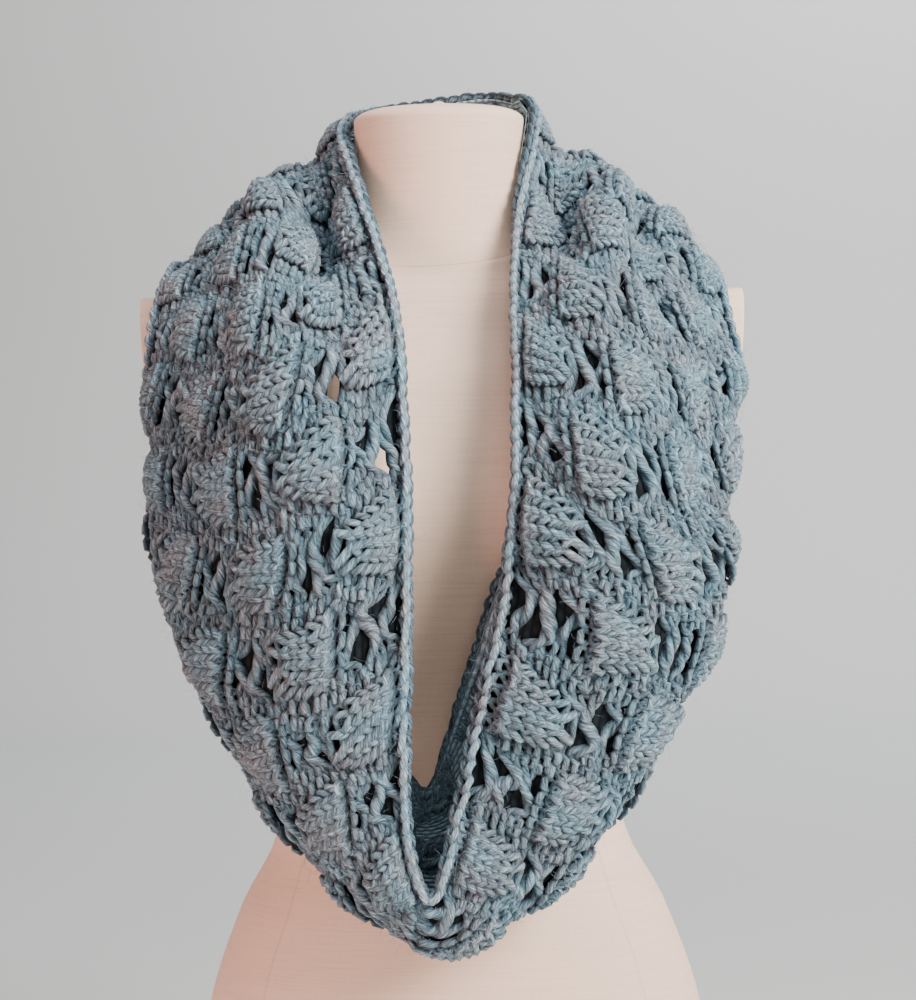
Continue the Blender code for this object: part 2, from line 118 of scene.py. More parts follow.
CLEAR_OF_FORM = 6.2             # of the cloth's middle
SETTLE_ROUNDS, EASING_ROUNDS = (14, 6), 12
FOLD_ROUNDNESS = 75.0           # least slope of a section at its outermost turn
DRAPE_LOOP, DRAPE_ACROSS = 192, 61      # points of the surface
STATION_POINTS, CURVE_STEPS = 1601, 40
EVEN_BY = (0.35, 0.35, 0.30)    # steps round the loop are even by this mean of three lines
# Inner edge, crown, turn and hem.
COWL_SECTIONS = {
    "nape": ((-2, 52, 755.5), (-2, 86, 702), (-2, 108, 618), (-2, 122, 522)),
    "left_nape": ((-44, 40, 752), (-84, 66, 708), (-124, 86, 652), (-130, 104, 572)),
    "left_neck": ((-62, 14, 742), (-102, 30, 711), (-145, 36, 675), (-166, 50, 638)),
    "left_shoulder": ((-57, -26, 714), (-105, -12, 700), (-150, -14, 660), (-177, -6, 644)),
    "left_collar": ((-40, -68, 660), (-100, -80, 650), (-160, -60, 626), (-183, -56, 606)),
    "left_chest": ((-25, -120, 598), (-98, -140, 588), (-171, -86, 574), (-184, -60, 562)),
    "left_bust": ((-20, -154, 505), (-96, -172, 502), (-182, -86, 500), (-172, -36, 488)),
    "left_ribs": ((-20, -164, 440), (-96, -172, 432), (-182, -100, 438), (-120, -116, 442)),
    "left_waist": ((-22, -169, 372), (-88, -166, 352), (-146, -111, 370), (-56, -124, 376)),
    "left_lap": ((-23, -172, 300), (-58, -168, 281), (-86, -134, 284), (-30, -120, 330)),
    "tip": ((-13, -174, 253), (-10, -172, 236), (-9, -146, 225), (-13, -122, 312)),
    "right_lap": ((-2, -172, 290), (34, -168, 268), (69, -136, 270), (-2, -126, 342)),
    "right_waist": ((14, -170, 362), (76, -168, 342), (134, -112, 354), (14, -134, 394)),
    "right_ribs": ((31, -170, 434), (102, -180, 426), (172, -104, 431), (48, -148, 474)),
    "right_bust": ((40, -164, 502), (112, -180, 500), (181, -92, 502), (146, -74, 518)),
    "right_chest": ((43, -130, 572), (110, -146, 572), (176, -86, 564), (184, -56, 550)),
    "right_collar": ((45, -72, 640), (101, -86, 648), (162, -60, 619), (182, -56, 602)),
    "right_shoulder": ((52, -26, 704), (102, -12, 701), (148, -12, 671), (176, -6, 641)),
    "right_neck": ((57, -6, 741), (97, 30, 717), (143, 36, 688), (166, 50, 639)),
    "right_nape": ((45, 36, 760), (80, 66, 712), (122, 86, 658), (130, 104, 574)),
}
# Place along the loop and across it, half length, half width, depth.
COWL_FOLDS = {
    "left_hollow": (0.155, 0.21, 0.045, 0.10, -34),
    "left_ridge": (0.150, 0.45, 0.060, 0.11, 6),
    "left_chest_dip": (0.235, 0.62, 0.030, 0.10, -5),
    "left_waist_roll": (0.400, 0.30, 0.035, 0.12, 5),
    "right_waist_roll": (0.590, 0.34, 0.035, 0.12, 5),
    "right_chest_dip": (0.760, 0.66, 0.030, 0.10, -5),
    "right_crease": (0.835, 0.58, 0.060, 0.09, -18),
    "right_ridge": (0.855, 0.40, 0.050, 0.10, 8),
    "right_hollow": (0.855, 0.20, 0.040, 0.10, -24),
    "nape_trough": (0.045, 0.62, 0.030, 0.16, 8),
    "nape_ripple": (0.955, 0.58, 0.032, 0.18, 7),
}
FINE_LOOP, FINE_ACROSS = 768, 241       # points of the refined surface
NORMAL_ROUNDS, NORMAL_REACH = 6, 2      # its normals are means of points this far apart

# ---- the chart: strips round the loop, courses from the inner edge to the hem ----

STRIPS, COURSES = 26, 49        # leaves and ladders alternate from strip to strip
REPEAT, LEAF_COURSES = 14, 7    # courses: seven of leaf, then seven of ladder
PIECE_COURSES = 10              # most courses in one piece
COURSE_HEIGHT, CHAIN_WIDTH = 5.6, 9.0   # of the flat knitting
CUT_WIDTH, CUT_LENGTH = 2 * CHAIN_WIDTH + COURSES * COURSE_HEIGHT, 1300.0
# At the low point the courses lie closer towards the hem: share, place, reach. At the nape
# the inner edge lies nearer to the neck: mm, reach, power by which that fades inwards.
TIP_EASE, TIP_ALONG, TIP_REACH = 0.42, 0.5, 0.09
NECK_HUG, NECK_REACH, NECK_FADE = 9.0, 0.10, 8
SAG = 0.022                     # strips hang lower between the edges, in shares of the loop

YARN_RADIUS, YARN_SIDES = 2.5, 6
LOOP_POINTS = 10                # along the yarn for one loop
LEG_LEAN, LEG_PINCH = 0.42, 0.035       # of a loop's legs, in loop widths
LOOP_DEPTH = 2.2                # legs in front of heads and feet, half the distance
SHINGLE = 0.9                   # the point of a V lies on the arms of the next
LOOP_TAPER = 0.30               # the yarn is thinner where it dives behind
FABRIC_LEVEL, LOWEST_YARN = -2.2, -3.6  # of the yarn's middle, from the draped surface
# Spreads of height, place and depth: of a leaf's loops, the ground's and a whole cell.
NEAT, LOOSE, CELL_LOOSE = (0.04, 0.05, 0.25), (0.10, 0.11, 0.55), (0.03, 0.05, 0.25)
WANDER = (0.0018, 0.005)        # slow wander of the courses, in shares of the loop and the cut
YARN_UNEVEN = 0.05              # slow change of the yarn's thickness
# Their waves, for both wanders and the thickness: how many, most round the loop and across.
SLOW_WAVES = ((7, 40, 5), (7, 30, 4), (9, 160, 40))
PURL_SHARE, GROUND_SINK = 0.19, -1.2    # purl loop beside each cell, in strips; its depth

# Leaves: half width at the base, in strips, and the power by which it shrinks to the tip;
# how far a course's ends bend to the tip, and the power by which that grows; height and
# the share of it lost at the sides; start, span and power of the swell.
LEAF_BASE, LEAF_TAPER, LEAF_ARC, LEAF_ARC_POWER = 0.445, 1.7, 1.1, 0.6
LEAF_RISE, LEAF_FALL, LEAF_SWELL = 7.0, 0.55, (0.16, 0.74, 0.8)
# Loops of each course, and their thickness and length: the tip's are long and fat.
LEAF_LOOPS = (5, 5, 5, 5, 5, 3, 1)
LEAF_YARN = (1.0, 1.0, 1.0, 1.0, 0.94, 1.08, 1.30)
LEAF_HEIGHT = (1.0, 1.0, 1.0, 1.0, 1.05, 1.25, 1.45)

# Ladders: strand of each course's float, and its share of a turn round that strand. Then
# for each strand half the length of its floats, in strips; filling loops at each end; its
# middle, in courses; distance of its floats from the middle.
LADDER_STRANDS = (0, 0, 1, 1, 1, 2, 2)
LADDER_PHASES = (0, 1 / 2, 0, 1 / 3, 2 / 3, 0, 1 / 2)
STRANDS = ((0.40, 0, 1.2, 1.9), (0.33, 1, 3.5, 2.4), (0.30, 2, 5.8, 1.9))
STRAND_RADIUS, STRAND_SINK = 3.0, -1.0  # fuller yarn than in the loops, a little behind
STRAND_POINTS, STRAND_TURNS = 20, 1.3   # of a float, the turns about its strand's middle
STRAND_SWING = (0.62, 0.22)     # to one neighbour and then the other, in courses, and spread
STRAND_SLANT = 0.35             # spread, in courses
STRAND_LONGER, STRAND_LIMITS = 0.10, (-1.5, 1)  # spread of a float's length, and its limits
# Share of a float at each end that leads to the strand, and that end's height and thickness.
FLOAT_EASE, FLOAT_FOOT, FLOAT_FOOT_YARN = 0.24, 0.8, 0.85

# The backing, a sheet whose dark outer side is painted shade between the stitches: grid,
# distance of its rows from the cut's edges, half its thickness. Windows where the form shows
# through a ladder: first and last row, first and last column.
BACKING_STEPS, BACKING_ACROSS, BACKING_MARGIN, BACKING_HALF = 156, 61, 0.006, 0.5
WINDOWS = ((43, 45, 2, 5), (38, 40, 11, 13))

# The chains: middle, radius of the yarn, step from link to link, half width; half length in
# steps; share by which the head is wider and the foot narrower.
CHAIN_MIDDLE, CHAIN_YARN, CHAIN_LINK, CHAIN_HALF = 0.47 * CHAIN_WIDTH / CUT_WIDTH, 2.5, 10.0, 2.5
CHAIN_LONG, CHAIN_HEAD = 0.74, 0.9
CHAIN_HEIGHTS = (2.0, 1.0)      # of the middle over both ends, and of the foot over the head
CHAIN_TILT = 0.75               # the outer side is rolled back, in radians
CHAIN_SHADE_DROP = 2.4                # painted shade: its relief is read this much lower, so the finish paints the chains darker
CHAIN_POINTS, EDGE_POINTS = 16, 2001    # round a link; along the whole edge
# Spreads of a link's size, height, place along and across, and of the yarn's thickness.
CHAIN_LOOSE = (0.13, 0.35, 0.5, 0.35, 0.05)

# Loose fibres: radius and the tip's share of it; how far past the edges they may start, in
# shares of the cut; start, rise and length, from and to; spread of the bend; a way that
# none runs along.
FIBRES, FIBRE_POINTS, FIBRE_SIDES = 5000, 3, 3
FIBRE_RADIUS, FIBRE_TIP, FIBRE_EDGE = 0.09, 0.35, 0.01
FIBRE_START, FIBRE_RISE, FIBRE_LENGTH, FIBRE_BEND = (1.0, 4.5), (0.35, 1.1), (2.5, 6.5), 0.35
FIBRE_ASIDE = (0.31, 0.57, 0.76)

# Finishes: the wool's turn in metres along the yarn, and half its plies. Stops give a place
# and the share, grey or colour that the tone is multiplied by.
PLY_TWIST, PLIES = 0.021, 1.5
WOOL_STREAKS = ((0.32, 0.26), (0.50, 0.86), (0.68, 1.85))
WOOL_DRIFT = (0.34, (1.13, 0.95, 0.93)), (0.62, (0.89, 1.03, 1.07))
WOOL_HAIRS = (0.40, (0.50, 0.52, 0.54)), (0.60, (1.52, 1.50, 1.47))
# Painted shade in the grooves between the plies.
PLY_GROOVE_SHADE = (0.0, (0.56, 0.57, 0.58)), (0.42, 1.03)
# Painted shade on the yarn's flanks and painted light on its crest, by how far it faces out of the
# fabric; where it faces in, the tone is kept.
YARN_FLANK_SHADE = ((0.04, 1.0), (0.22, (0.22, 0.27, 0.31)), (0.60, (0.66, 0.71, 0.75)),
               (0.90, (1.10, 1.09, 1.08)))
RELIEF_SPAN = 14                # of the relief in mm, half of it below the surface
# Painted shade where the relief is low and painted light where it is high; at the very lowest, on
# the inner side, the tone comes back.
RELIEF_SHADE = ((0.13, (0.80, 0.86, 0.90)), (0.19, (0.10, 0.14, 0.16)),
                (0.28, (0.17, 0.23, 0.27)), (0.45, (0.46, 0.54, 0.59)),
                (0.61, (0.92, 0.95, 0.97)), (0.78, (1.22, 1.20, 1.18)))
PURL_WIDTH = 1.6                # of a purl bump, in course heights
BOARD_COLOUR = (0.62, 0.47, 0.31)

# The stage. Lamps: place, target, size, power in watts, colour.
LAMPS = {
    "key": ((1.45, -1.25, 1.45), (0.0, -0.05, 0.42), 1.1, 92.0, (1.0, 0.975, 0.93)),
    "top": ((0.2, -0.2, 2.3), (0.0, 0.0, 0.5), 1.2, 22.0, (0.94, 0.97, 1.0)),
    "fill": ((-1.7, -1.3, 0.1), (0.0, -0.05, 0.10), 1.0, 40.0, (1.0, 0.46, 0.34)),
    "backdrop": ((1.5, 2.2, 3.4), (1.0, 4.5, 1.9), 1.4, 145.0, (0.98, 1.0, 1.0)),
}
SKY_COLOUR, SKY_STRENGTH = (0.93, 0.95, 1.0), 0.22
CAMERA_SIDE, CAMERA_HEIGHT, CAMERA_ROLL = 0.0082, 0.49, -1.02   # metres and degrees
FLOOR_FRONT, FLOOR_BACK, WALL_TOP, SWEEP, BACKDROP_HALF = -6000.0, 3400.0, 6000.0, 1100.0, 7000.0
SWEEP_POINTS = 25


# ---- curves ----

def unit(vectors):
    """The same directions, each with length one."""
    return vectors / np.linalg.norm(vectors, axis=-1, keepdims=True)


def bell(away, reach):
    """Bell curve: e to the power of minus the square of away over reach."""
    return np.exp(-(away / reach) ** 2)


def angles(count):
    """count even steps of one turn."""
    return np.arange(count) * TURN / count


def way_round(u, place):
    """From place to u the shorter way round the loop, between -0.5 and 0.5."""
    return (u - place + 0.5) % 1 - 0.5


def run_along(line):
    """Length along a line up to each of its points."""
    return np.concatenate([[0], np.cumsum(np.linalg.norm(np.diff(line, axis=0), axis=1))])


def hermite(t, start, leave, end, arrive):
    """Cubic from start to end with the slopes leave and arrive, t from 0 to 1."""
    return ((2 * t**3 - 3 * t**2 + 1) * start + (t**3 - 2 * t**2 + t) * leave
            + (3 * t**2 - 2 * t**3) * end + (t**3 - t**2) * arrive)


def catmull(a, b, c, d, t):
    """Catmull-Rom curve from b to c at t from 0 to 1."""
    return 0.5 * (2 * b + (c - a) * t + (2 * a - 5 * b + 4 * c - d) * t**2
                  + (3 * b - a - 3 * c + d) * t**3)


def loop_curve(rows, places):
    """Closed Catmull-Rom curve through the rows, read at places counted in rows."""
    first = np.floor(places).astype(int)
    t = (places - first)[:, None]
    return catmull(*(rows[(first + k) % len(rows)] for k in (-1, 0, 1, 2)), t)


def blend_rows(places, values, at):
    """Cubic curve through the rows that never swings past them (harmonic mean slopes)."""
    at = np.clip(at, places[0], places[-1])
    row = np.clip(np.searchsorted(places, at, side="right") - 1, 0, len(places) - 2)
    gap = np.diff(places)
    slope = np.diff(values, axis=0) / gap[:, None]
    tangent = np.zeros_like(values)
    tangent[0], tangent[-1] = slope[0], slope[-1]
    product = slope[1:] * slope[:-1]
    total = np.where(product > 0, slope[1:] + slope[:-1], 1.0)
    tangent[1:-1] = np.where(product > 0, 2 * product / total, 0.0)
    t, wide = ((at - places[row]) / gap[row])[..., None], gap[row][..., None]
    return hermite(t, values[row], wide * tangent[row], values[row + 1], wide * tangent[row + 1])


def read_between(lines, count):
    """count points along each line, evenly spaced from its start to its end."""
    result = np.empty((len(lines), count, 3))
    for k, line in enumerate(lines):
        run = run_along(line)
        want = np.linspace(0, run[-1], count)
        result[k] = np.stack([np.interp(want, run, values) for values in line.T], axis=1)
    return result


# ---- the form ----

def form_section(height):
    """Half width, front, back, squareness and lean of the form at each height, in mm."""
    table = np.array(list(FORM_SECTIONS.values()), float)
    return blend_rows(table[:, 0], table[:, 1:], np.asarray(height, float))


def bust_rise(x, height):
    """Two soft domes, side by side: a bell curve in height times one in width."""
    domes = bell(x + BUST_APART, BUST_WIDE) + bell(x - BUST_APART, BUST_WIDE)
    return BUST_RISE * bell(height - BUST_HEIGHT, BUST_HIGH) * domes


def form_ring(height, sides):
    """Superellipse with its own depth in front and behind, leaning back. The height is one
    number, or one for each of the sides."""
    half, front, back, square, lean = form_section(height).T
    x, y = (np.sign(k) * np.abs(k) ** (2 / square)
            for k in (np.cos(angles(sides)), np.sin(angles(sides))))
    y = np.where(y < 0, front + bust_rise(half * x, height), back) * y
    return np.stack([half * x, y, height + lean * y], axis=1)


def form_distance(points):
    """About how far each point is outside the form: its share past the superellipse at its
    own height, times the smaller of half width and depth. Negative inside."""
    x, y, z = np.moveaxis(points, -1, 0)
    height = z
    for _ in range(LEAN_ROUNDS):
        height = z - form_section(height)[..., 4] * y
    half, front, back, square, _ = np.moveaxis(form_section(height), -1, 0)
    depth = np.where(y < 0, front + bust_rise(x, height), back)
    reach = ((np.abs(x) / half) ** square + (np.abs(y) / depth) ** square) ** (1 / square)
    return np.maximum((reach - 1) * np.minimum(half, depth), z - FORM_TOP - NECK_CAP_RISE)


def dipped(heights, sides):
    """Rings that sink at the front beside the seam of the neck: by a power of the sine
    round the form, times a bell curve in height."""
    front = np.clip(-np.sin(angles(sides) + SEAM_DIP_TURN), 0, 1) ** SEAM_DIP_POWER
    dips = SEAM_DIP * bell(heights - NECK_SEAM, SEAM_DIP_REACH)
    return [form_ring(height - dip * front, sides) for height, dip in zip(heights, dips)]


def neck_cap(sides):
    """Dome: height grows as a power of the distance in from the rim, with a bell-shaped
    point at the middle."""
    rim = form_ring(FORM_TOP, sides)
    centre = rim.mean(axis=0)
    rings = [centre + (rim - centre) * share for share in CAP_SHARES]
    for ring, share in zip(rings, CAP_SHARES):
        away = np.linalg.norm(ring[:, :2] - centre[:2], axis=1)
        dome = NECK_CAP_RISE * (1 - share ** NECK_CAP_FLATNESS) ** NECK_CAP_SHOULDER
        ring[:, 2] += dome + NECK_CAP_PEAK * bell(away, NECK_CAP_PEAK_RADIUS)
    return rings


def torso_side(y, z):
    """Half width of the torso at each depth and height, by halving the range."""
    low, high = np.zeros_like(y), np.full_like(y, SIDE_LIMIT)
    for _ in range(SIDE_ROUNDS):
        middle = (low + high) / 2
        inside = form_distance(np.stack([middle, y, z], axis=-1)) < 0
        low, high = np.where(inside, middle, low), np.where(inside, high, middle)
    return low


def arm_cap(side):
    """Oval from its hollow side round the rim to its flat leaning face."""
    turn = angles(ARM_CAP_SIDES) * side
    rings = []
    for share, outer, set_in in ARM_CAP_PROFILE:
        y, z = (middle + half * share * wave for middle, half, wave
                in zip(ARM_CAP_CENTRE, ARM_CAP_HALF, (np.cos(turn), np.sin(turn))))
        face = ARM_CAP_FACE + ARM_CAP_LEAN * (z - ARM_CAP_CENTRE[1])
        hollow = np.minimum(torso_side(y, z) + ARM_CAP_GAP, face - ARM_CAP_RIM)
        x = face - set_in if outer else hollow + set_in
        rings.append(np.stack([side * x, y, z], axis=1))
    return rings


# ---- the draped surface ----

def settle(points, gap, rounds):
    """Moves fabric that is nearer to the form than gap straight out."""
    points = points.copy()
    for _ in range(rounds):
        level = form_distance(points)
        slope = np.stack([form_distance(points + probe) - form_distance(points - probe)
                          for probe in SETTLE_PROBE * np.eye(3)], axis=-1) / (2 * SETTLE_PROBE)
        steep = np.maximum(np.linalg.norm(slope, axis=-1), SETTLE_FLATTEST)
        push = np.clip(gap - level / steep, 0, SETTLE_STEP) * SETTLE_SHARE
        points += slope / steep[..., None] * push[..., None]
    return points


def section_curves(stations):
    """Smooth line through inner edge, crown, turn and hem of every station. The slopes at
    the crown and the turn are half the way between their neighbours, and an end's is one
    and a half times its step less half the next slope."""
    inner, crown, turn, hem = (stations[:, k] for k in range(4))
    over, back = (turn - inner) / 2, (hem - crown) / 2
    size = np.linalg.norm(back, axis=1, keepdims=True)
    back = back / size * np.maximum(size, FOLD_ROUNDNESS)
    slopes = ((crown - inner) * 1.5 - over * 0.5, over, back, (hem - turn) * 1.5 - back * 0.5)
    t = np.linspace(0, 1, CURVE_STEPS + 1)[:, None, None]
    parts = [hermite(t[min(k, 1):], stations[:, k], slopes[k], stations[:, k + 1], slopes[k + 1])
             for k in range(3)]
    return np.concatenate(parts).transpose(1, 0, 2)


def outward(surface):
    """Unit normals of the fabric's right side: across crossed with along."""
    along = np.roll(surface, -1, axis=0) - np.roll(surface, 1, axis=0)
    return unit(np.cross(np.gradient(surface, axis=1), along))


def relax(surface, rounds):
    """Each point moves half way to a weighted mean of its neighbours, edges kept."""
    for _ in range(rounds):
        eased = surface.copy()
        eased[:, 1:-1] = (2 * surface[:, 1:-1] + surface[:, 2:] + surface[:, :-2]) / 4
        eased = (2 * eased + np.roll(eased, 1, axis=0) + np.roll(eased, -1, axis=0)) / 4
        surface = (surface + eased) / 2
    return surface


def cowl_surface():
    """Middle of the fabric on a grid, (DRAPE_LOOP, DRAPE_ACROSS, 3): sections read at even
    steps round the loop, the folds laid over them as bell curves along the normal, then
    settled clear of the form."""
    rows = np.array(list(COWL_SECTIONS.values()), float).reshape(len(COWL_SECTIONS), 12)
    fine = np.linspace(0, len(rows), STATION_POINTS)
    stations = loop_curve(rows, fine).reshape(-1, 4, 3)
    run = run_along(np.einsum("k,nkc->nc", EVEN_BY, stations[:, :3]))
    u = np.arange(DRAPE_LOOP)[:, None] / DRAPE_LOOP
    v = np.linspace(0, 1, DRAPE_ACROSS)[None, :]
    even = np.interp(u[:, 0] * run[-1], run, fine)
    surface = section_curves(loop_curve(rows, even).reshape(-1, 4, 3))
    surface = read_between(surface, DRAPE_ACROSS)
    normal = outward(surface)
    for along, across, half_length, half_width, depth in COWL_FOLDS.values():
        swell = bell(way_round(u, along), half_length) * bell(v - across, half_width)
        surface = surface + normal * (depth * swell)[..., None]
    surface = settle(surface, CLEAR_OF_FORM, SETTLE_ROUNDS[0])
    return settle(relax(surface, EASING_ROUNDS), CLEAR_OF_FORM, SETTLE_ROUNDS[1])


def refined(surface):
    """Catmull-Rom curves round the loop, then from edge to edge, whose end points are
    mirrored beyond the edges."""
    flat = loop_curve(surface.reshape(DRAPE_LOOP, -1),
                      np.arange(FINE_LOOP) / (FINE_LOOP // DRAPE_LOOP))
    surface = flat.reshape(FINE_LOOP, DRAPE_ACROSS, 3)
    lines = np.concatenate([2 * surface[:, :1] - surface[:, 1:2], surface,
                            2 * surface[:, -1:] - surface[:, -2:-1]], axis=1)
    places = np.linspace(0, DRAPE_ACROSS - 1, FINE_ACROSS)
    row = np.minimum(places.astype(int), DRAPE_ACROSS - 2)
    surface = catmull(*(lines[:, row + k] for k in range(4)), (places - row)[None, :, None])
    return read_between(surface, FINE_ACROSS)


class Drape:
    """The draped surface as a function of the flat chart."""

    def __init__(self):
        self.place = refined(cowl_surface())
        normal, far = outward(self.place), NORMAL_REACH
        for _ in range(NORMAL_ROUNDS):
            normal = normal + np.roll(normal, far, axis=0) + np.roll(normal, -far, axis=0)
            middle = normal.copy()
            middle[:, far:-far] += normal[:, 2 * far:] + normal[:, :-2 * far]
            normal = unit(middle)
        self.normal = normal

    def across(self, u, c):
        """Share of the real width for a flat share c: even, but eased at the low point and
        drawn in to the neck at the nape, both by bell curves round the loop."""
        ease = TIP_EASE * bell(way_round(u, TIP_ALONG), TIP_REACH)
        hug = NECK_HUG / CUT_WIDTH * bell(way_round(u, 0), NECK_REACH)
        return c * (1 + ease * (1 - c)) - hug * np.clip(1 - c, 0, 1) ** NECK_FADE

    def read(self, grid, u, a):
        """Bilinear reading of a grid; u goes round, a is held between the edges."""
        x, y = (u % 1) * FINE_LOOP, np.clip(a, 0, 1) * (FINE_ACROSS - 1)
        i, j = x.astype(int) % FINE_LOOP, np.minimum(y.astype(int), FINE_ACROSS - 2)
        fx, fy = (x - np.floor(x))[..., None], (y - j)[..., None]
        k = (i + 1) % FINE_LOOP
        return ((1 - fx) * ((1 - fy) * grid[i, j] + fy * grid[i, j + 1])
                + fx * ((1 - fy) * grid[k, j] + fy * grid[k, j + 1]))

    def lay(self, u, c, n):
        """Points and normals at loop share u, flat share c across and height n, in mm. Past
        an edge the fabric carries on straight."""
        a = self.across(u, c)
        point, normal = self.read(self.place, u, a), unit(self.read(self.normal, u, a))
        over = a - np.clip(a, 0, 1)
        if np.any(over):
            step = 2 / (FINE_ACROSS - 1)
            inside = self.read(self.place, u, np.clip(a, 0, 1) - np.sign(over) * step)
            point = point + (point - inside) * (np.abs(over) / step)[..., None]
        return point + normal * n[..., None], normal


@cache
def the_drape():
    """The draped surface, worked out once."""
    return Drape()


# ---- yarns ----

def wave_field(rng, count, reach_u, reach_v):
    """Smooth random field in (-1, 1): a sum of sine waves that close round the loop."""
    waves_u = rng.integers(1, reach_u + 1, count)
    waves_v = rng.uniform(0, reach_v, count)
    phases = rng.uniform(0, TURN, count)

    def field(u, v):
        return sum(np.sin(TURN * (along * u + across * v) + phase)
                   for along, across, phase in zip(waves_u, waves_v, phases)) / np.sqrt(count)
    return field


def leaf_half(t):
    """Half width of a leaf at t from its base, 0, to its tip, 1: a blunt shell."""
    return LEAF_BASE * np.sqrt(1 - t ** LEAF_TAPER)


def knit_loops(count, half, side, rng, spreads):
    """count loops side by side from -half to half. With t counted in loops, x is t with a
    sine of twice a turn for the legs' lean and one of a turn for the pinch, y, in courses,
    is minus the cosine of a turn, n is minus the cosine of twice a turn, and the yarn is
    thinner where n is low. side is 1 for knit and -1 for purl. Columns: x, y, n, radius,
    relief."""
    turn = TURN * (np.arange(count * LOOP_POINTS) + 0.5) / LOOP_POINTS
    width = 2 * half / count
    taller, along, deeper = np.repeat(rng.normal(0, spreads, (count, 3)), LOOP_POINTS, axis=0).T
    lean = LEG_LEAN * np.sin(2 * turn) - LEG_PINCH * np.sin(turn)
    x = -half + width * (turn / TURN + lean)
    y = -np.cos(turn) * (1 + taller) + along
    front = -side * np.cos(2 * turn)
    n = LOOP_DEPTH * front - SHINGLE * np.cos(turn) + deeper
    radius = YARN_RADIUS * (1 - LOOP_TAPER * (1 - front) / 2)
    return np.stack([x, y, n, radius, n], axis=1)


def leaf_cell(course, rng):
    """One course of a leaf: its loops narrow towards the tip, bend towards it at their ends
    and stand out in the middle, by a power of a sine from base to tip."""
    t = (course + 0.5) / LEAF_COURSES
    half = leaf_half(t)
    line = knit_loops(LEAF_LOOPS[course], half, -1 if course == 0 else 1, rng, NEAT)
    s = np.clip(line[:, 0] / half, -1, 1)
    line[:, 1] = line[:, 1] * LEAF_HEIGHT[course] + LEAF_ARC * s**2 * t**LEAF_ARC_POWER
    start, span, power = LEAF_SWELL
    line[:, 2] += LEAF_RISE * (1 - LEAF_FALL * s**2) * np.sin(np.pi * (start + span * t)) ** power
    line[:, 3] *= LEAF_YARN[course]
    return line, half


def ground_loops(count, half, side, rng):
    """Loose loops a little behind the leaves."""
    line = knit_loops(count, half, side, rng, LOOSE)
    line[:, [2, 4]] += GROUND_SINK
    return line


def ladder_cell(course, half, twist, way, rng):
    """One course of a ladder: filling loops at each end and between them a long float that
    coils about the middle of its strand, which swings by a sine of a turn. twist holds the
    strand's own changes of slant, swing, length and turn; way is 1 or -1, the neighbour to
    which it swings first."""
    slant, bow, longer, start = twist
    swing = way * (STRAND_SWING[0] + STRAND_SWING[1] * bow)
    reach, fill, level, coil = STRANDS[LADDER_STRANDS[course]]
    reach = reach * (1 + STRAND_LONGER * np.clip(longer, *STRAND_LIMITS)) if fill else half
    s = (np.arange(STRAND_POINTS) + 0.5) / STRAND_POINTS
    ease = np.clip(np.minimum(s, 1 - s) / FLOAT_EASE, 0, 1)
    ease = ease * ease * (3 - 2 * ease)
    turn = TURN * (STRAND_TURNS * s + LADDER_PHASES[course] + start)
    coil = coil * ease
    middle = (level - (course + 0.5) + STRAND_SLANT * slant * (2 * s - 1)
              + swing * np.sin(TURN * s))
    y = -(1 - ease) * FLOAT_FOOT + middle * ease + coil * np.cos(turn) / COURSE_HEIGHT
    n = coil * np.sin(turn) + STRAND_SINK * ease
    thin = FLOAT_FOOT_YARN * YARN_RADIUS
    line = np.stack([-reach + 2 * reach * s, y, n, thin + (STRAND_RADIUS - thin) * ease, n], axis=1)
    if fill:
        each = (half - reach) / 2
        left, right = (ground_loops(fill, each, -1, rng) for _ in range(2))
        left[:, 0] -= reach + each
        right[:, 0] += reach + each
        line = np.concatenate([left, line, right])
    return line


def course_line(course, rng, fields, twists):
    """Centre line of one course round the loop: points, normals, radii and reliefs. Each
    point is then a mean of itself, six parts, and its two neighbours."""
    shift_u, shift_c, swell = fields
    parts = []
    for strip in range(STRIPS):
        row = course + LEAF_COURSES * (strip % 2)
        place = row % REPEAT
        if place < LEAF_COURSES:
            line, half = leaf_cell(place, rng)
        else:
            place -= LEAF_COURSES
            half = 1 - PURL_SHARE - leaf_half((place + 0.5) / LEAF_COURSES)
            strand = len(STRANDS) * (row // REPEAT) + LADDER_STRANDS[place]
            way = 1 if (strip // 2 + strand) % 2 else -1
            line = ladder_cell(place, half, twists[strip, strand], way, rng)
        purl = ground_loops(1, PURL_SHARE / 2, -1 if (course + strip) % 3 else 1, rng)
        purl[:, 0] += half + PURL_SHARE / 2
        line = np.concatenate([line, purl])
        taller, along, deeper = (rng.normal(0, spread) for spread in CELL_LOOSE)
        line[:, 1] = line[:, 1] * (1 + taller) + along
        line[:, 2] += deeper
        line[:, 0] += strip
        parts.append(line)
    line = np.concatenate(parts)
    after, before = np.roll(line, -1, axis=0), np.roll(line, 1, axis=0)
    after[-1, 0] += STRIPS
    before[0, 0] -= STRIPS
    line = (before + 6 * line + after) / 8
    u = line[:, 0] / STRIPS
    c = (CHAIN_WIDTH + (course + 0.5 + line[:, 1]) * COURSE_HEIGHT) / CUT_WIDTH
    u = u + SAG * np.sin(TURN * u) * np.sin(np.pi * c)
    u, c = u + shift_u(u, c) * WANDER[0], c + shift_c(u, c) * WANDER[1]
    radius = line[:, 3] * (1 + YARN_UNEVEN * swell(u, c))
    level = np.maximum(line[:, 2] + FABRIC_LEVEL, LOWEST_YARN)
    return *the_drape().lay(u, c, level), radius, line[:, 4] + FABRIC_LEVEL


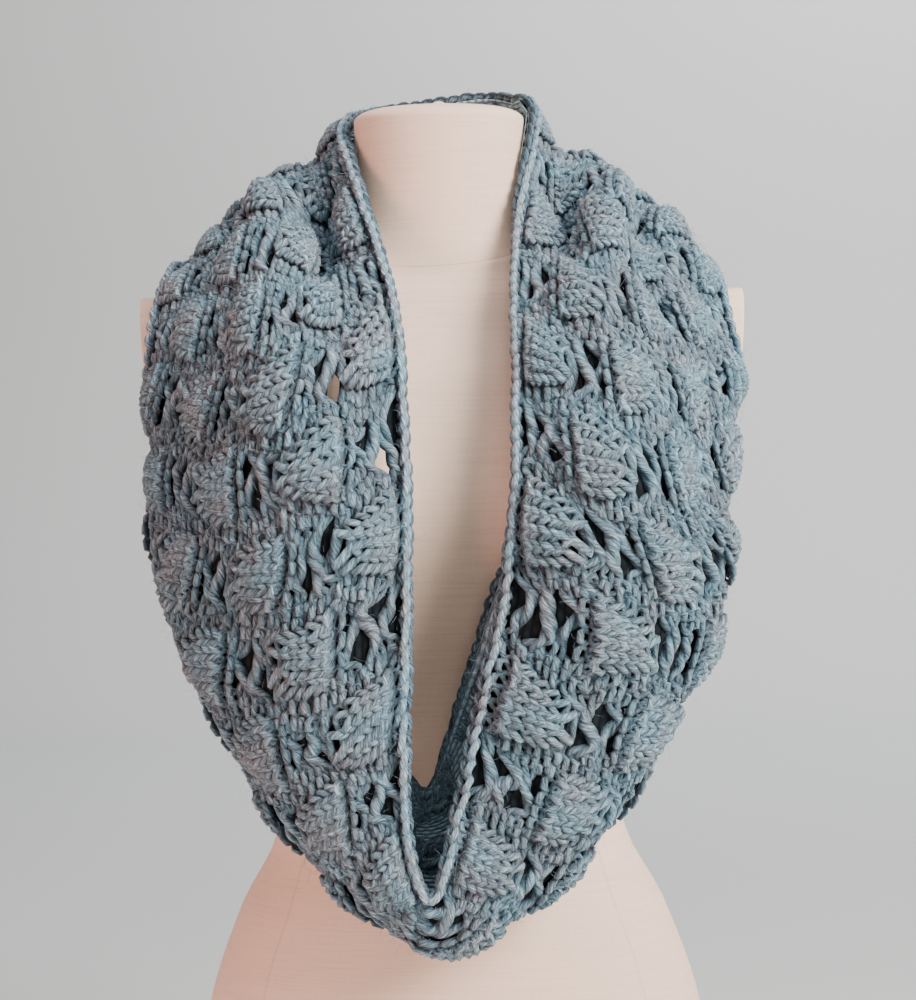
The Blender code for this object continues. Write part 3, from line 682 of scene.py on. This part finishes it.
def chain_links(at, outer, rng):
    """Closed links along one edge, each longer than its step so that it lies under the
    next: along goes with minus the cosine of a turn, across with the sine and is wider at
    the head, height with the cosine of twice the turn. Across and height are then turned
    by the tilt; outer is -1 or 1, the side of the chain that is rolled back."""
    drape, share = the_drape(), np.linspace(0, 1, EDGE_POINTS)
    run = run_along(drape.read(drape.place, share, np.full(EDGE_POINTS, at)))
    count = int(round(run[-1] / CHAIN_LINK))
    middles = np.interp((np.arange(count) + 0.5) * run[-1] / count, run, share)
    per_mm = np.interp(middles, share, np.gradient(share, run))
    turn = angles(CHAIN_POINTS)
    size, height, along, across, thick = CHAIN_LOOSE
    links = []
    for k in range(count):
        wide, long = 1 + rng.normal(0, size, 2)
        x = -CHAIN_LONG * CHAIN_LINK * long * np.cos(turn)
        side = CHAIN_HALF * wide * np.sin(turn) * (1 - CHAIN_HEAD * np.cos(turn))
        rise = -CHAIN_HEIGHTS[0] * np.cos(2 * turn) - CHAIN_HEIGHTS[1] * np.cos(turn)
        rise += rng.normal(0, height)
        y = side * np.cos(CHAIN_TILT) + outer * rise * np.sin(CHAIN_TILT)
        n = rise * np.cos(CHAIN_TILT) - outer * side * np.sin(CHAIN_TILT)
        u = middles[k] + (x + rng.normal(0, along)) * per_mm[k]
        c = at + (y + rng.normal(0, across)) / CUT_WIDTH
        radius = np.full(CHAIN_POINTS, CHAIN_YARN * (1 + rng.normal(0, thick)))
        # Painted shade: the relief is read lower than the link lies, so the finish darkens the
        # chains.
        links.append((*drape.lay(u, c, n), radius, n - CHAIN_SHADE_DROP))
    return links


def loose_fibres(count, rng):
    """Fine hairs that stand off the yarn: each starts among the stitches and leaves along a
    random way between the surface and its normal, bending in a parabola. Returns the hairs'
    points as an array of hairs, points along each, places."""
    u, c = rng.uniform(0, 1, count), rng.uniform(-FIBRE_EDGE, 1 + FIBRE_EDGE, count)
    start, normal = the_drape().lay(u, c, rng.uniform(*FIBRE_START, count))
    way = rng.normal(0, 1, (count, 3))
    way -= normal * np.sum(way * normal, axis=1, keepdims=True)
    first = unit(way) + normal * rng.uniform(*FIBRE_RISE, (count, 1))
    bend = rng.normal(0, FIBRE_BEND, (count, 3))
    length = rng.uniform(*FIBRE_LENGTH, (count, 1))
    t = np.linspace(0, 1, FIBRE_POINTS)[None, :, None]
    return start[:, None] + (first * length)[:, None] * t + (bend * length)[:, None] * t * t


# ---- meshes ----

def grid_quads(rows, columns, closed_rows, closed_columns):
    """Quads between the points of a grid stored row by row; a closed one wraps round. They
    look outward where the columns turn to the right about the way of the rows."""
    r, c = np.indices((rows - (not closed_rows), columns - (not closed_columns)))
    r, c = r.reshape(-1, 1) + (0, 0, 1, 1), c.reshape(-1, 1) + (0, 1, 1, 0)
    return r % rows * columns + c % columns


def put_in_scene(name, data):
    """A new object of that name."""
    item = bpy.data.objects.new(name, data)
    bpy.context.scene.collection.objects.link(item)
    return item


def add_mesh(name, points, quads, finish, corner_map=None, caps=(), flat=False):
    """An object from points in mm, an array of quads that look outward, and caps with any
    number of corners each."""
    mesh = bpy.data.meshes.new(name)
    corners = np.concatenate([quads.ravel(), *caps]).astype(np.int32)
    sizes = np.array([4] * len(quads) + [len(cap) for cap in caps], np.int32)
    mesh.vertices.add(len(points))
    mesh.vertices.foreach_set("co", (np.asarray(points) * MM).astype(np.float32).ravel())
    mesh.loops.add(len(corners))
    mesh.loops.foreach_set("vertex_index", corners)
    mesh.polygons.add(len(sizes))
    mesh.polygons.foreach_set("loop_start", np.cumsum(sizes, dtype=np.int32) - sizes)
    if corner_map is not None:
        layer = mesh.uv_layers.new(name="UVMap")
        layer.data.foreach_set("uv", corner_map.astype(np.float32).ravel())
    mesh.update(calc_edges=True)
    if flat:
        mesh.shade_flat()
    mesh.materials.append(finish)
    return put_in_scene(name, mesh)


def mark_points(piece, name, kind, field, values):
    """Stores a value for each point of a piece, for its finish to read."""
    layer = piece.data.attributes.new(name, kind, "POINT")
    layer.data.foreach_set(field, values.astype(np.float32).ravel())


def circles(points, up, aside, radius, sides):
    """Rings of points: up times the cosine and aside times the sine of each step's angle."""
    turn = angles(sides)[:, None]
    ring = np.cos(turn) * up[..., None, :] + np.sin(turn) * aside[..., None, :]
    return points[..., None, :] + ring * radius


def yarn_mesh(name, lines, finish):
    """One mesh of closed yarns, with rings in the plane of the surface normal and the
    yarn's own sideways direction. Its UV map holds the share of a turn round the yarn and
    the length along it in metres, and its relief how far a point stands out, in mm."""
    places, quads, maps, reliefs = [], [], [], []
    first = 0
    for points, normals, radius, relief in lines:
        along = unit(np.roll(points, -1, axis=0) - np.roll(points, 1, axis=0))
        aside = unit(np.cross(along, normals))
        rings = circles(points, np.cross(aside, along), aside, radius[:, None, None], YARN_SIDES)
        out = np.einsum("ijk,ik->ij", rings - points[:, None], normals)
        reliefs.append((out + relief[:, None]).ravel())
        run = run_along(np.concatenate([points, points[:1]])) * MM
        i, j = (k.reshape(-1, 1) for k in np.indices(rings.shape[:2]))
        i, j = i + (0, 0, 1, 1), j + (0, 1, 1, 0)
        quads.append(first + i % len(points) * YARN_SIDES + j % YARN_SIDES)
        maps.append(np.stack([j / YARN_SIDES, run[i]], axis=-1).reshape(-1, 2))
        places.append(rings.reshape(-1, 3))
        first += len(places[-1])
    piece = add_mesh(name, np.concatenate(places), np.concatenate(quads), finish,
                     np.concatenate(maps))
    mark_points(piece, "relief", "FLOAT", "value", np.concatenate(reliefs))
    return piece


def cover(name, rings, finish):
    """Solid through closed rings, its two ends drawn in to a point by shrinking rings."""
    ends = []
    for ring in (rings[0], rings[-1]):
        centre = ring.mean(axis=0)
        ends.append([centre + (ring - centre) * share for share in END_SHARES])
    rings = np.array(ends[0][::-1] + list(rings) + ends[1])
    count, sides = rings.shape[:2]
    last = np.arange(sides)
    piece = add_mesh(name, rings.reshape(-1, 3), grid_quads(count, sides, False, True), finish,
                     caps=(last[::-1], last + (count - 1) * sides))
    piece.data.set_sharp_from_angle(angle=SHARP_ANGLE)
    return piece


# ---- finishes ----

def shaded(colour, share):
    """A colour made darker or lighter."""
    return tuple(min(1.0, c * share) for c in colour)


class Nodes:
    """Short way to write a material: one Principled shader and the nodes that feed it."""

    def __init__(self, name, roughness, specular=0.5, sheen=0.0):
        self.material = bpy.data.materials.new(name)
        self.material.use_nodes = True
        self.tree = self.material.node_tree
        self.shader = self.tree.nodes["Principled BSDF"].inputs
        self.shader["Roughness"].default_value = roughness
        self.shader["Specular IOR Level"].default_value = specular
        self.shader["Sheen Weight"].default_value = sheen

    def feed(self, socket, value):
        """Gives a socket a link, a number, a vector or a colour."""
        if isinstance(value, bpy.types.NodeSocket):
            self.tree.links.new(value, socket)
        else:
            socket.default_value = (*value, 1.0) if socket.type == "RGBA" else value

    def add(self, kind, *sources, **settings):
        """A new node's outputs: sources feed its first sockets in order, and settings the
        sockets or properties of their names."""
        node = self.tree.nodes.new(f"ShaderNode{kind}")
        for key, value in settings.items():
            if key in node.inputs:
                self.feed(node.inputs[key], value)
            else:
                setattr(node, key, value)
        for socket, value in zip(node.inputs, sources):
            self.feed(socket, value)
        return node.outputs

    def maths(self, operation, *values):
        """One sum, product or function of its values."""
        return self.add("Math", *values, operation=operation)[0]

    def noise(self, place, scale, detail, roughness=0.5, **settings):
        """Cloudy noise from 0 to 1."""
        return self.add("TexNoise", place, Scale=scale, Detail=detail, Roughness=roughness,
                        **settings)["Fac"]

    def ramp(self, source, *stops):
        """Colours, or greys, blended from stop to stop as the source grows."""
        node = self.tree.nodes.new("ShaderNodeValToRGB")
        bar = node.color_ramp.elements
        while len(bar) < len(stops):
            bar.new(0.5)
        for element, (place, colour) in zip(bar, stops):
            element.position = place
            element.color = (*(colour if isinstance(colour, tuple) else [colour] * 3), 1.0)
        self.feed(node.inputs["Fac"], source)
        return node.outputs["Color"]

    def mix(self, share, first, second, kind="MIX"):
        """Two colours blended by a share."""
        node = self.tree.nodes.new("ShaderNodeMix")
        node.data_type, node.blend_type = "RGBA", kind
        for place, value in ((0, share), (6, first), (7, second)):
            self.feed(node.inputs[place], value)
        return node.outputs[2]

    def times(self, first, *others):
        """Colours multiplied one after the other."""
        for other in others:
            first = self.mix(1.0, first, other, "MULTIPLY")
        return first

    def done(self, colour, height, strength, distance):
        """Links the colour and a bump, and returns the material."""
        self.feed(self.shader["Base Color"], colour)
        bump = self.add("Bump", Strength=strength, Distance=distance, Height=height)
        self.feed(self.shader["Normal"], bump[0])
        return self.material


def yarn_finish(name, colour):
    """Soft plied wool: fibres run along the yarn with a slow twist, the colour is heathered
    in streaks and drifts a little over the whole piece. Shade is painted between the plies,
    on the yarn's flanks and where the relief is low, and light on its crest and high relief."""
    n = Nodes(name, roughness=0.88, specular=0.18, sheen=0.25)
    around, along, _ = n.add("SeparateXYZ", n.add("UVMap", uv_map="UVMap")[0])
    turn = n.maths("MULTIPLY", around, TURN)
    angle = n.maths("ADD", turn, n.maths("MULTIPLY", along, TURN / PLY_TWIST))
    twisted = n.add("CombineXYZ", n.maths("COSINE", angle), n.maths("SINE", angle),
                    n.maths("MULTIPLY", along, 60.0))[0]
    fibres = n.noise(twisted, 1.9, 4.0, 0.66)
    hairs = n.noise(twisted, 6.5, 3.0, 0.7)
    drift = n.noise(n.add("TexCoord")["Object"], 38.0, 2.0)
    plies = n.maths("ABSOLUTE", n.maths("SINE", n.maths("MULTIPLY", angle, PLIES)))
    crest = n.maths("MULTIPLY_ADD", n.maths("COSINE", turn), 0.5, 0.5)
    relief = n.add("Attribute", attribute_name="relief")["Fac"]
    level = n.maths("MULTIPLY_ADD", relief, 1 / RELIEF_SPAN, 0.5)
    # The wool's heathered colour times painted shade between the plies, on the flanks and in low
    # relief.
    tone = n.times(
        n.ramp(fibres, *((place, shaded(colour, share)) for place, share in WOOL_STREAKS)),
        n.ramp(drift, *WOOL_DRIFT), n.ramp(hairs, *WOOL_HAIRS), n.ramp(plies, *PLY_GROOVE_SHADE),
        n.ramp(crest, *YARN_FLANK_SHADE), n.ramp(level, *RELIEF_SHADE))
    height = n.maths("ADD", n.maths("MULTIPLY", plies, 0.45), fibres)
    return n.done(tone, n.maths("MULTIPLY_ADD", hairs, 0.5, height), 0.9, 0.0014)


def backing_shade_finish(name, shade, colour):
    """Painted shade outside: a near-black tone between the stitches, darker still between
    faint bumps. Inside, rows of purl bumps: a sine along each row, shifted by half a stitch
    from row to row, under the arch of the row itself, with shade painted between the bumps
    and light painted on their crests. The chart attribute holds the place on the flat sheet
    and, last, 1 on the inner side."""
    n = Nodes(name, roughness=0.95, specular=0.1)
    chart = n.add("Attribute", attribute_name="chart")["Vector"]
    along, across, inner = n.add("SeparateXYZ", chart)
    row = n.maths("ADD", n.maths("DIVIDE", across, COURSE_HEIGHT * MM),
                  n.maths("MULTIPLY", n.noise(chart, 160.0, 2.0), 0.5))
    arch = n.maths("ABSOLUTE", n.maths("SINE", n.maths("MULTIPLY", row, np.pi)))
    turn = n.maths("MULTIPLY_ADD", along, TURN / (PURL_WIDTH * COURSE_HEIGHT * MM),
                   n.maths("MULTIPLY", n.maths("FLOOR", row), np.pi))
    height = n.maths("MULTIPLY", arch, n.maths("MULTIPLY_ADD", n.maths("SINE", turn), 0.35, 0.65))
    # Painted shade between the purl bumps and painted light on their crests, over the wool's
    # colour.
    purl = n.times(n.ramp(height, (0.05, shaded(colour, 0.6)), (0.65, shaded(colour, 2.0))),
                   n.ramp(n.noise(chart, 900.0, 3.0), (0.35, 0.6), (0.65, 1.2)))
    # Painted shade: the outer side is the near-black shade colour, darker still between faint
    # bumps.
    outer = n.ramp(height, (0.08, shaded(shade, 0.5)), (0.75, tuple(shade)))
    tone = n.mix(n.maths("GREATER_THAN", inner, 0.5), outer, purl)
    return n.done(tone, height, 0.8, 0.0018)


def linen_finish(name, colour, seams=False):
    """Fine plain-weave linen: threads run round the form, each a little lighter or darker,
    crossed by weaker upright ones. With seams it has the two long panel seams, a curve of
    distance from the middle over height."""
    n = Nodes(name, roughness=0.86, specular=0.2, sheen=0.12)
    point = n.add("TexCoord")["Object"]
    weft = n.noise(n.add("Mapping", point, Scale=(22.0, 22.0, 900.0))[0], 1.0, 2.5, 0.55)
    warp = n.noise(n.add("Mapping", point, Scale=(800.0, 800.0, 30.0))[0], 1.0, 2.0)
    weave = height = n.maths("ADD", n.maths("MULTIPLY", weft, 0.7), n.maths("MULTIPLY", warp, 0.3))
    base = n.times(n.ramp(weave, (0.36, shaded(colour, 0.93)), (0.50, tuple(colour)),
                          (0.66, shaded(colour, 1.05))),
                   n.ramp(n.noise(point, 9.0, 3.0), (0.35, (0.96, 0.955, 0.95)), (0.65, 1.0)))
    if seams:
        x, y, z = n.add("SeparateXYZ", point)
        curve = n.tree.nodes.new("ShaderNodeFloatCurve")
        points = curve.mapping.curves[0].points
        points[0].location, points[-1].location = PANEL_SEAM[0], PANEL_SEAM[-1]
        for place in PANEL_SEAM[1:-1]:
            points.new(*place)
        curve.mapping.update()
        n.feed(curve.inputs["Value"], n.maths("DIVIDE", z, PANEL_SEAM_SCALE[0]))
        away = n.maths("SUBTRACT", n.maths("ABSOLUTE", x),
                       n.maths("MULTIPLY", curve.outputs[0], PANEL_SEAM_SCALE[1]))
        near = n.maths("DIVIDE", n.maths("ABSOLUTE", away), PANEL_SEAM_WIDTH)
        near = n.maths("SUBTRACT", 1.0, n.maths("SMOOTH_MIN", near, 1.0, 0.1))
        line = n.maths("MULTIPLY", near, n.maths("LESS_THAN", y, 0.0))
        base = n.mix(n.maths("MULTIPLY", line, 0.26), base, shaded(colour, 0.5))
        height = n.maths("SUBTRACT", weave, n.maths("MULTIPLY", line, 1.6))
    return n.done(base, height, 0.35, 0.0004)


def board_finish(name, colour):
    """Plain sanded board: long soft grain."""
    n = Nodes(name, roughness=0.6)
    place = n.add("Mapping", n.add("TexCoord")["Object"], Scale=(6.0, 70.0, 70.0))[0]
    grain = n.noise(place, 1.0, 5.0, Distortion=0.6)
    return n.done(n.ramp(grain, (0.35, shaded(colour, 0.72)), (0.65, colour)), grain, 0.2, 0.0004)


def plain_finish(name, colour, roughness):
    """One even colour."""
    n = Nodes(name, roughness, specular=0.1)
    n.feed(n.shader["Base Color"], colour)
    return n.material


# ---- settings ----

def colour_setting(name, description, default):
    """A colour that a user may change."""
    return FloatVectorProperty(name=name, description=description, subtype="COLOR", size=3,
                               min=0, max=1, default=default)


class CowlSettings(bpy.types.PropertyGroup):
    """Colours of the knitting, and of the shade painted deep between its stitches."""
    yarn_colour: colour_setting("Yarn colour", "Middle tone of the heathered wool",
                                (0.233, 0.326, 0.385))
    # Painted shade: the backing's near-black outer side stands in for the shade deep between the
    # stitches.
    painted_shade_colour: colour_setting("Painted shade colour", "Tone seen deep between the stitches",
                                   (0.015, 0.020, 0.024))
    backing_depth: FloatProperty(
        name="Backing depth", description="How far the backing lies behind the yarn's middle",
        unit="LENGTH", min=0, max=0.005, default=0.0040)


class FormSettings(bpy.types.PropertyGroup):
    """The dress form's covers."""
    linen_colour: colour_setting("Linen colour", "Colour of the covers", (1.0, 0.715, 0.56))
    sides: IntProperty(
        name="Sides", description="Facets round the torso", min=48, max=256, default=112)


class StageSettings(bpy.types.PropertyGroup):
    """Floor, backdrop, light and camera."""
    backdrop_colour: colour_setting("Backdrop colour", "Colour of the floor and the backdrop",
                                    (0.68, 0.70, 0.685))
    lens: FloatProperty(
        name="Lens", description="Focal length in millimetres", unit="CAMERA", min=20, max=200,
        default=87.3)
    camera_distance: FloatProperty(
        name="Camera distance", description="From the form's middle to the camera",
        unit="LENGTH", min=0.8, max=4, default=1.6)


# ---- pieces ----

class COWL_OT_form(bpy.types.Operator):
    """The dress form's covers: torso, neck, neck cap and arm caps"""
    bl_idname = "cowl.form"
    bl_label = "Dress form"

    def execute(self, context):
        settings = context.scene.cowl_form
        sides = settings.sides
        for name, rings, node, slot in (
                ("torso_cover", dipped(TORSO_HEIGHTS, sides), "form_body", "linen_body_cover"),
                ("neck_cover", dipped(NECK_HEIGHTS, sides), "form_neck", "linen_neck_cover"),
                ("neck_cap", neck_cap(sides), "form_neck_cap", "linen_neck_cap"),
                ("arm_cap_left", arm_cap(-1), "form_arm_cap_left", "linen_left_arm_cap"),
                ("arm_cap_right", arm_cap(1), "form_arm_cap_right", "linen_right_arm_cap")):
            piece = cover(name, rings, linen_finish(f"linen of the {name}", settings.linen_colour,
                                                    seams=name == "torso_cover"))
            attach(piece, "root")
            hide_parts(node)
        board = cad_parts["form_base_board"]
        board.data.materials.clear()
        board.data.materials.append(board_finish("sanded board", BOARD_COLOUR))
        return {"FINISHED"}


def backing_quads(columns):
    """Quads of both layers, row by row, the last half of each row being the lower layer
    backwards. Each window's quads are taken out of both layers, and it is walled round
    from one layer to the other."""
    rows = grid_quads(BACKING_STEPS, columns, True, True).reshape(-1, columns, 4)
    kept, walls = np.ones(rows.shape[:2], bool), []
    for first, last, near, far in WINDOWS:
        kept[first:last, near:far] = False
        kept[first:last, columns - 1 - far:columns - 1 - near] = False
        row = [first] * (far - near) + [*range(first, last)]
        row += [last] * (far - near) + [*range(last, first, -1)]
        column = [*range(near, far)] + [far] * (last - first)
        column += [*range(far, near, -1)] + [near] * (last - first)
        row, column = np.array(row) * columns, np.array(column)
        top, low = row + column, row + columns - 1 - column
        walls.append(np.stack([top, np.roll(top, -1), np.roll(low, -1), low], 1))
    return np.concatenate([rows[kept], *walls])


class COWL_OT_backing(bpy.types.Operator):
    """Thin sheet that the yarns lie on: painted shade between the stitches, purled inside"""
    bl_idname = "cowl.backing"
    bl_label = "Backing sheet"

    def execute(self, context):
        settings = context.scene.cowl
        steps, across = BACKING_STEPS, BACKING_ACROSS
        u, c = np.meshgrid(np.arange(steps) / steps,
                           np.linspace(BACKING_MARGIN, 1 - BACKING_MARGIN, across), indexing="ij")
        depth = np.full(u.shape, -settings.backing_depth / MM)
        top, low = (the_drape().lay(u, c, depth + side * BACKING_HALF)[0] for side in (1, -1))
        loop = np.concatenate([top, low[:, ::-1]], axis=1)
        finish = backing_shade_finish("wool in shade", settings.painted_shade_colour, settings.yarn_colour)
        # Its dark outer side is painted shade, seen between the stitches.
        piece = add_mesh("cowl_shade_backing", loop.reshape(-1, 3), backing_quads(2 * across), finish)
        chart = np.stack([u * CUT_LENGTH * MM, c * CUT_WIDTH * MM, np.zeros_like(u)], axis=-1)
        chart = np.concatenate([chart, chart[:, ::-1] + (0, 0, 1)], axis=1)
        mark_points(piece, "chart", "FLOAT_VECTOR", "vector", chart)
        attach(piece, "root")
        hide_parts("cowl_body")
        return {"FINISHED"}


class COWL_OT_courses(bpy.types.Operator):
    """The lace itself: every course is one closed yarn round the loop"""
    bl_idname = "cowl.courses"
    bl_label = "Lace courses"

    def execute(self, context):
        finish = yarn_finish("blue-grey wool", context.scene.cowl.yarn_colour)
        rng = np.random.default_rng(SEED)
        fields = [wave_field(rng, *waves) for waves in SLOW_WAVES]
        rng = np.random.default_rng(SEED + 1)
        twists = rng.normal(0, 1, (STRIPS, len(STRANDS) * (COURSES // REPEAT + 2), 4))
        for number, first in enumerate(range(0, COURSES, PIECE_COURSES), 1):
            lines = [course_line(course, rng, fields, twists)
                     for course in range(first, min(first + PIECE_COURSES, COURSES))]
            piece = yarn_mesh(f"lace_courses_{number}", lines, finish)
            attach(piece, "root")
        return {"FINISHED"}


class COWL_OT_fibres(bpy.types.Operator):
    """The halo of loose fibres: three-sided hairs that end in a point"""
    bl_idname = "cowl.fibres"
    bl_label = "Loose fibres"

    def execute(self, context):
        hairs = loose_fibres(FIBRES, np.random.default_rng(SEED + 3))
        along = unit(np.gradient(hairs, axis=1))
        aside = unit(np.cross(along, FIBRE_ASIDE))
        thick = np.linspace(1, FIBRE_TIP, FIBRE_POINTS)[:, None, None] * FIBRE_RADIUS
        rings = circles(hairs, aside, np.cross(along, aside), thick, FIBRE_SIDES)
        size = FIBRE_POINTS * FIBRE_SIDES
        first = np.arange(FIBRES)[:, None] * size
        quads = grid_quads(FIBRE_POINTS, FIBRE_SIDES, False, True)
        finish = plain_finish("wool fibre", shaded(context.scene.cowl.yarn_colour, 1.15), 0.8)
        piece = add_mesh("loose_fibres", rings.reshape(-1, 3),
                         (first[..., None] + quads).reshape(-1, 4), finish, flat=True,
                         caps=(*(first + (2, 1, 0)), *(first + size - (3, 2, 1))))
        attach(piece, "root")
        return {"FINISHED"}


class COWL_OT_edges(bpy.types.Operator):
    """The bound-off chain along the inner edge and the cast-on chain along the hem"""
    bl_idname = "cowl.edges"
    bl_label = "Edge chains"

    def execute(self, context):
        finish = yarn_finish("blue-grey wool of the chains", context.scene.cowl.yarn_colour)
        rng = np.random.default_rng(SEED + 2)
        for name, at, outer, node in (("inner_chain", CHAIN_MIDDLE, -1, "cowl_inner_edge"),
                                      ("hem_chain", 1 - CHAIN_MIDDLE, 1, "cowl_hem_edge")):
            piece = yarn_mesh(name, chain_links(at, outer, rng), finish)
            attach(piece, "root")
            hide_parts(node)
        return {"FINISHED"}


def backdrop(colour):
    """A profile of floor, quarter circle and wall, drawn straight from side to side."""
    turn = np.linspace(0, np.pi / 2, SWEEP_POINTS)
    y = [FLOOR_FRONT, *(FLOOR_BACK + SWEEP * np.sin(turn)), FLOOR_BACK + SWEEP]
    z = [0.0, *(SWEEP - SWEEP * np.cos(turn)), WALL_TOP]
    points = np.concatenate([np.stack([np.full(len(y), x), y, z], 1)
                             for x in (-BACKDROP_HALF, BACKDROP_HALF)])
    quads = grid_quads(2, len(y), False, False)[:, ::-1]
    return add_mesh("backdrop", points, quads, plain_finish("matt paper", colour, 0.95))


class COWL_OT_stage(bpy.types.Operator):
    """Pale floor that sweeps up into a backdrop, soft lamps and the camera"""
    bl_idname = "cowl.stage"
    bl_label = "Stage"

    def execute(self, context):
        settings = context.scene.cowl_stage
        backdrop(settings.backdrop_colour)
        for name, (place, target, size, power, colour) in LAMPS.items():
            data = bpy.data.lights.new(name, "AREA")
            data.shape, data.size, data.energy, data.color = "SQUARE", size, power, colour
            lamp = put_in_scene(name, data)
            lamp.location = place
            aim = Vector(target) - Vector(place)
            lamp.rotation_euler = aim.to_track_quat("-Z", "Y").to_euler()
        world = bpy.data.worlds.new("studio")
        world.use_nodes = True
        sky = world.node_tree.nodes["Background"].inputs
        sky[0].default_value, sky[1].default_value = (*SKY_COLOUR, 1.0), SKY_STRENGTH
        context.scene.world = world
        data = bpy.data.cameras.new("camera")
        data.sensor_width, data.sensor_fit, data.lens = 36.0, "AUTO", settings.lens
        camera = put_in_scene("camera", data)
        roll = Matrix.Rotation(np.radians(CAMERA_ROLL), 4, "Z")
        level = Matrix.Rotation(np.radians(90), 4, "X")
        place = Matrix.Translation((CAMERA_SIDE, -settings.camera_distance, CAMERA_HEIGHT))
        camera.matrix_world = place @ level @ roll
        context.scene.camera = camera
        return {"FINISHED"}


class COWL_PT_panel(bpy.types.Panel):
    """Lists the settings and the pieces"""
    bl_idname = "COWL_PT_panel"
    bl_label = "Lace cowl"
    bl_space_type = "VIEW_3D"
    bl_region_type = "UI"
    bl_category = "Cowl"

    def draw(self, context):
        layout = self.layout
        for group in (context.scene.cowl, context.scene.cowl_form, context.scene.cowl_stage):
            box = layout.box()
            for name in group.__annotations__:
                box.prop(group, name)
        for operator in OPERATORS:
            layout.operator(operator.bl_idname)


SETTINGS = (("cowl", CowlSettings), ("cowl_form", FormSettings), ("cowl_stage", StageSettings))
OPERATORS = (COWL_OT_form, COWL_OT_backing, COWL_OT_courses, COWL_OT_fibres, COWL_OT_edges,
             COWL_OT_stage)


def register():
    """Makes the settings, the operators and the panel known."""
    for name, group in SETTINGS:
        bpy.utils.register_class(group)
        setattr(bpy.types.Scene, name, PointerProperty(type=group))
    for item in (*OPERATORS, COWL_PT_panel):
        bpy.utils.register_class(item)


def unregister():
    """Takes them out again."""
    for item in (COWL_PT_panel, *reversed(OPERATORS)):
        bpy.utils.unregister_class(item)
    for name, group in reversed(SETTINGS):
        delattr(bpy.types.Scene, name)
        bpy.utils.unregister_class(group)


def main():
    """Builds every piece in order."""
    register()
    bpy.ops.cowl.form()
    bpy.ops.cowl.backing()
    bpy.ops.cowl.courses()
    bpy.ops.cowl.fibres()
    bpy.ops.cowl.edges()
    bpy.ops.cowl.stage()


if __name__ == "__main__":
    main()
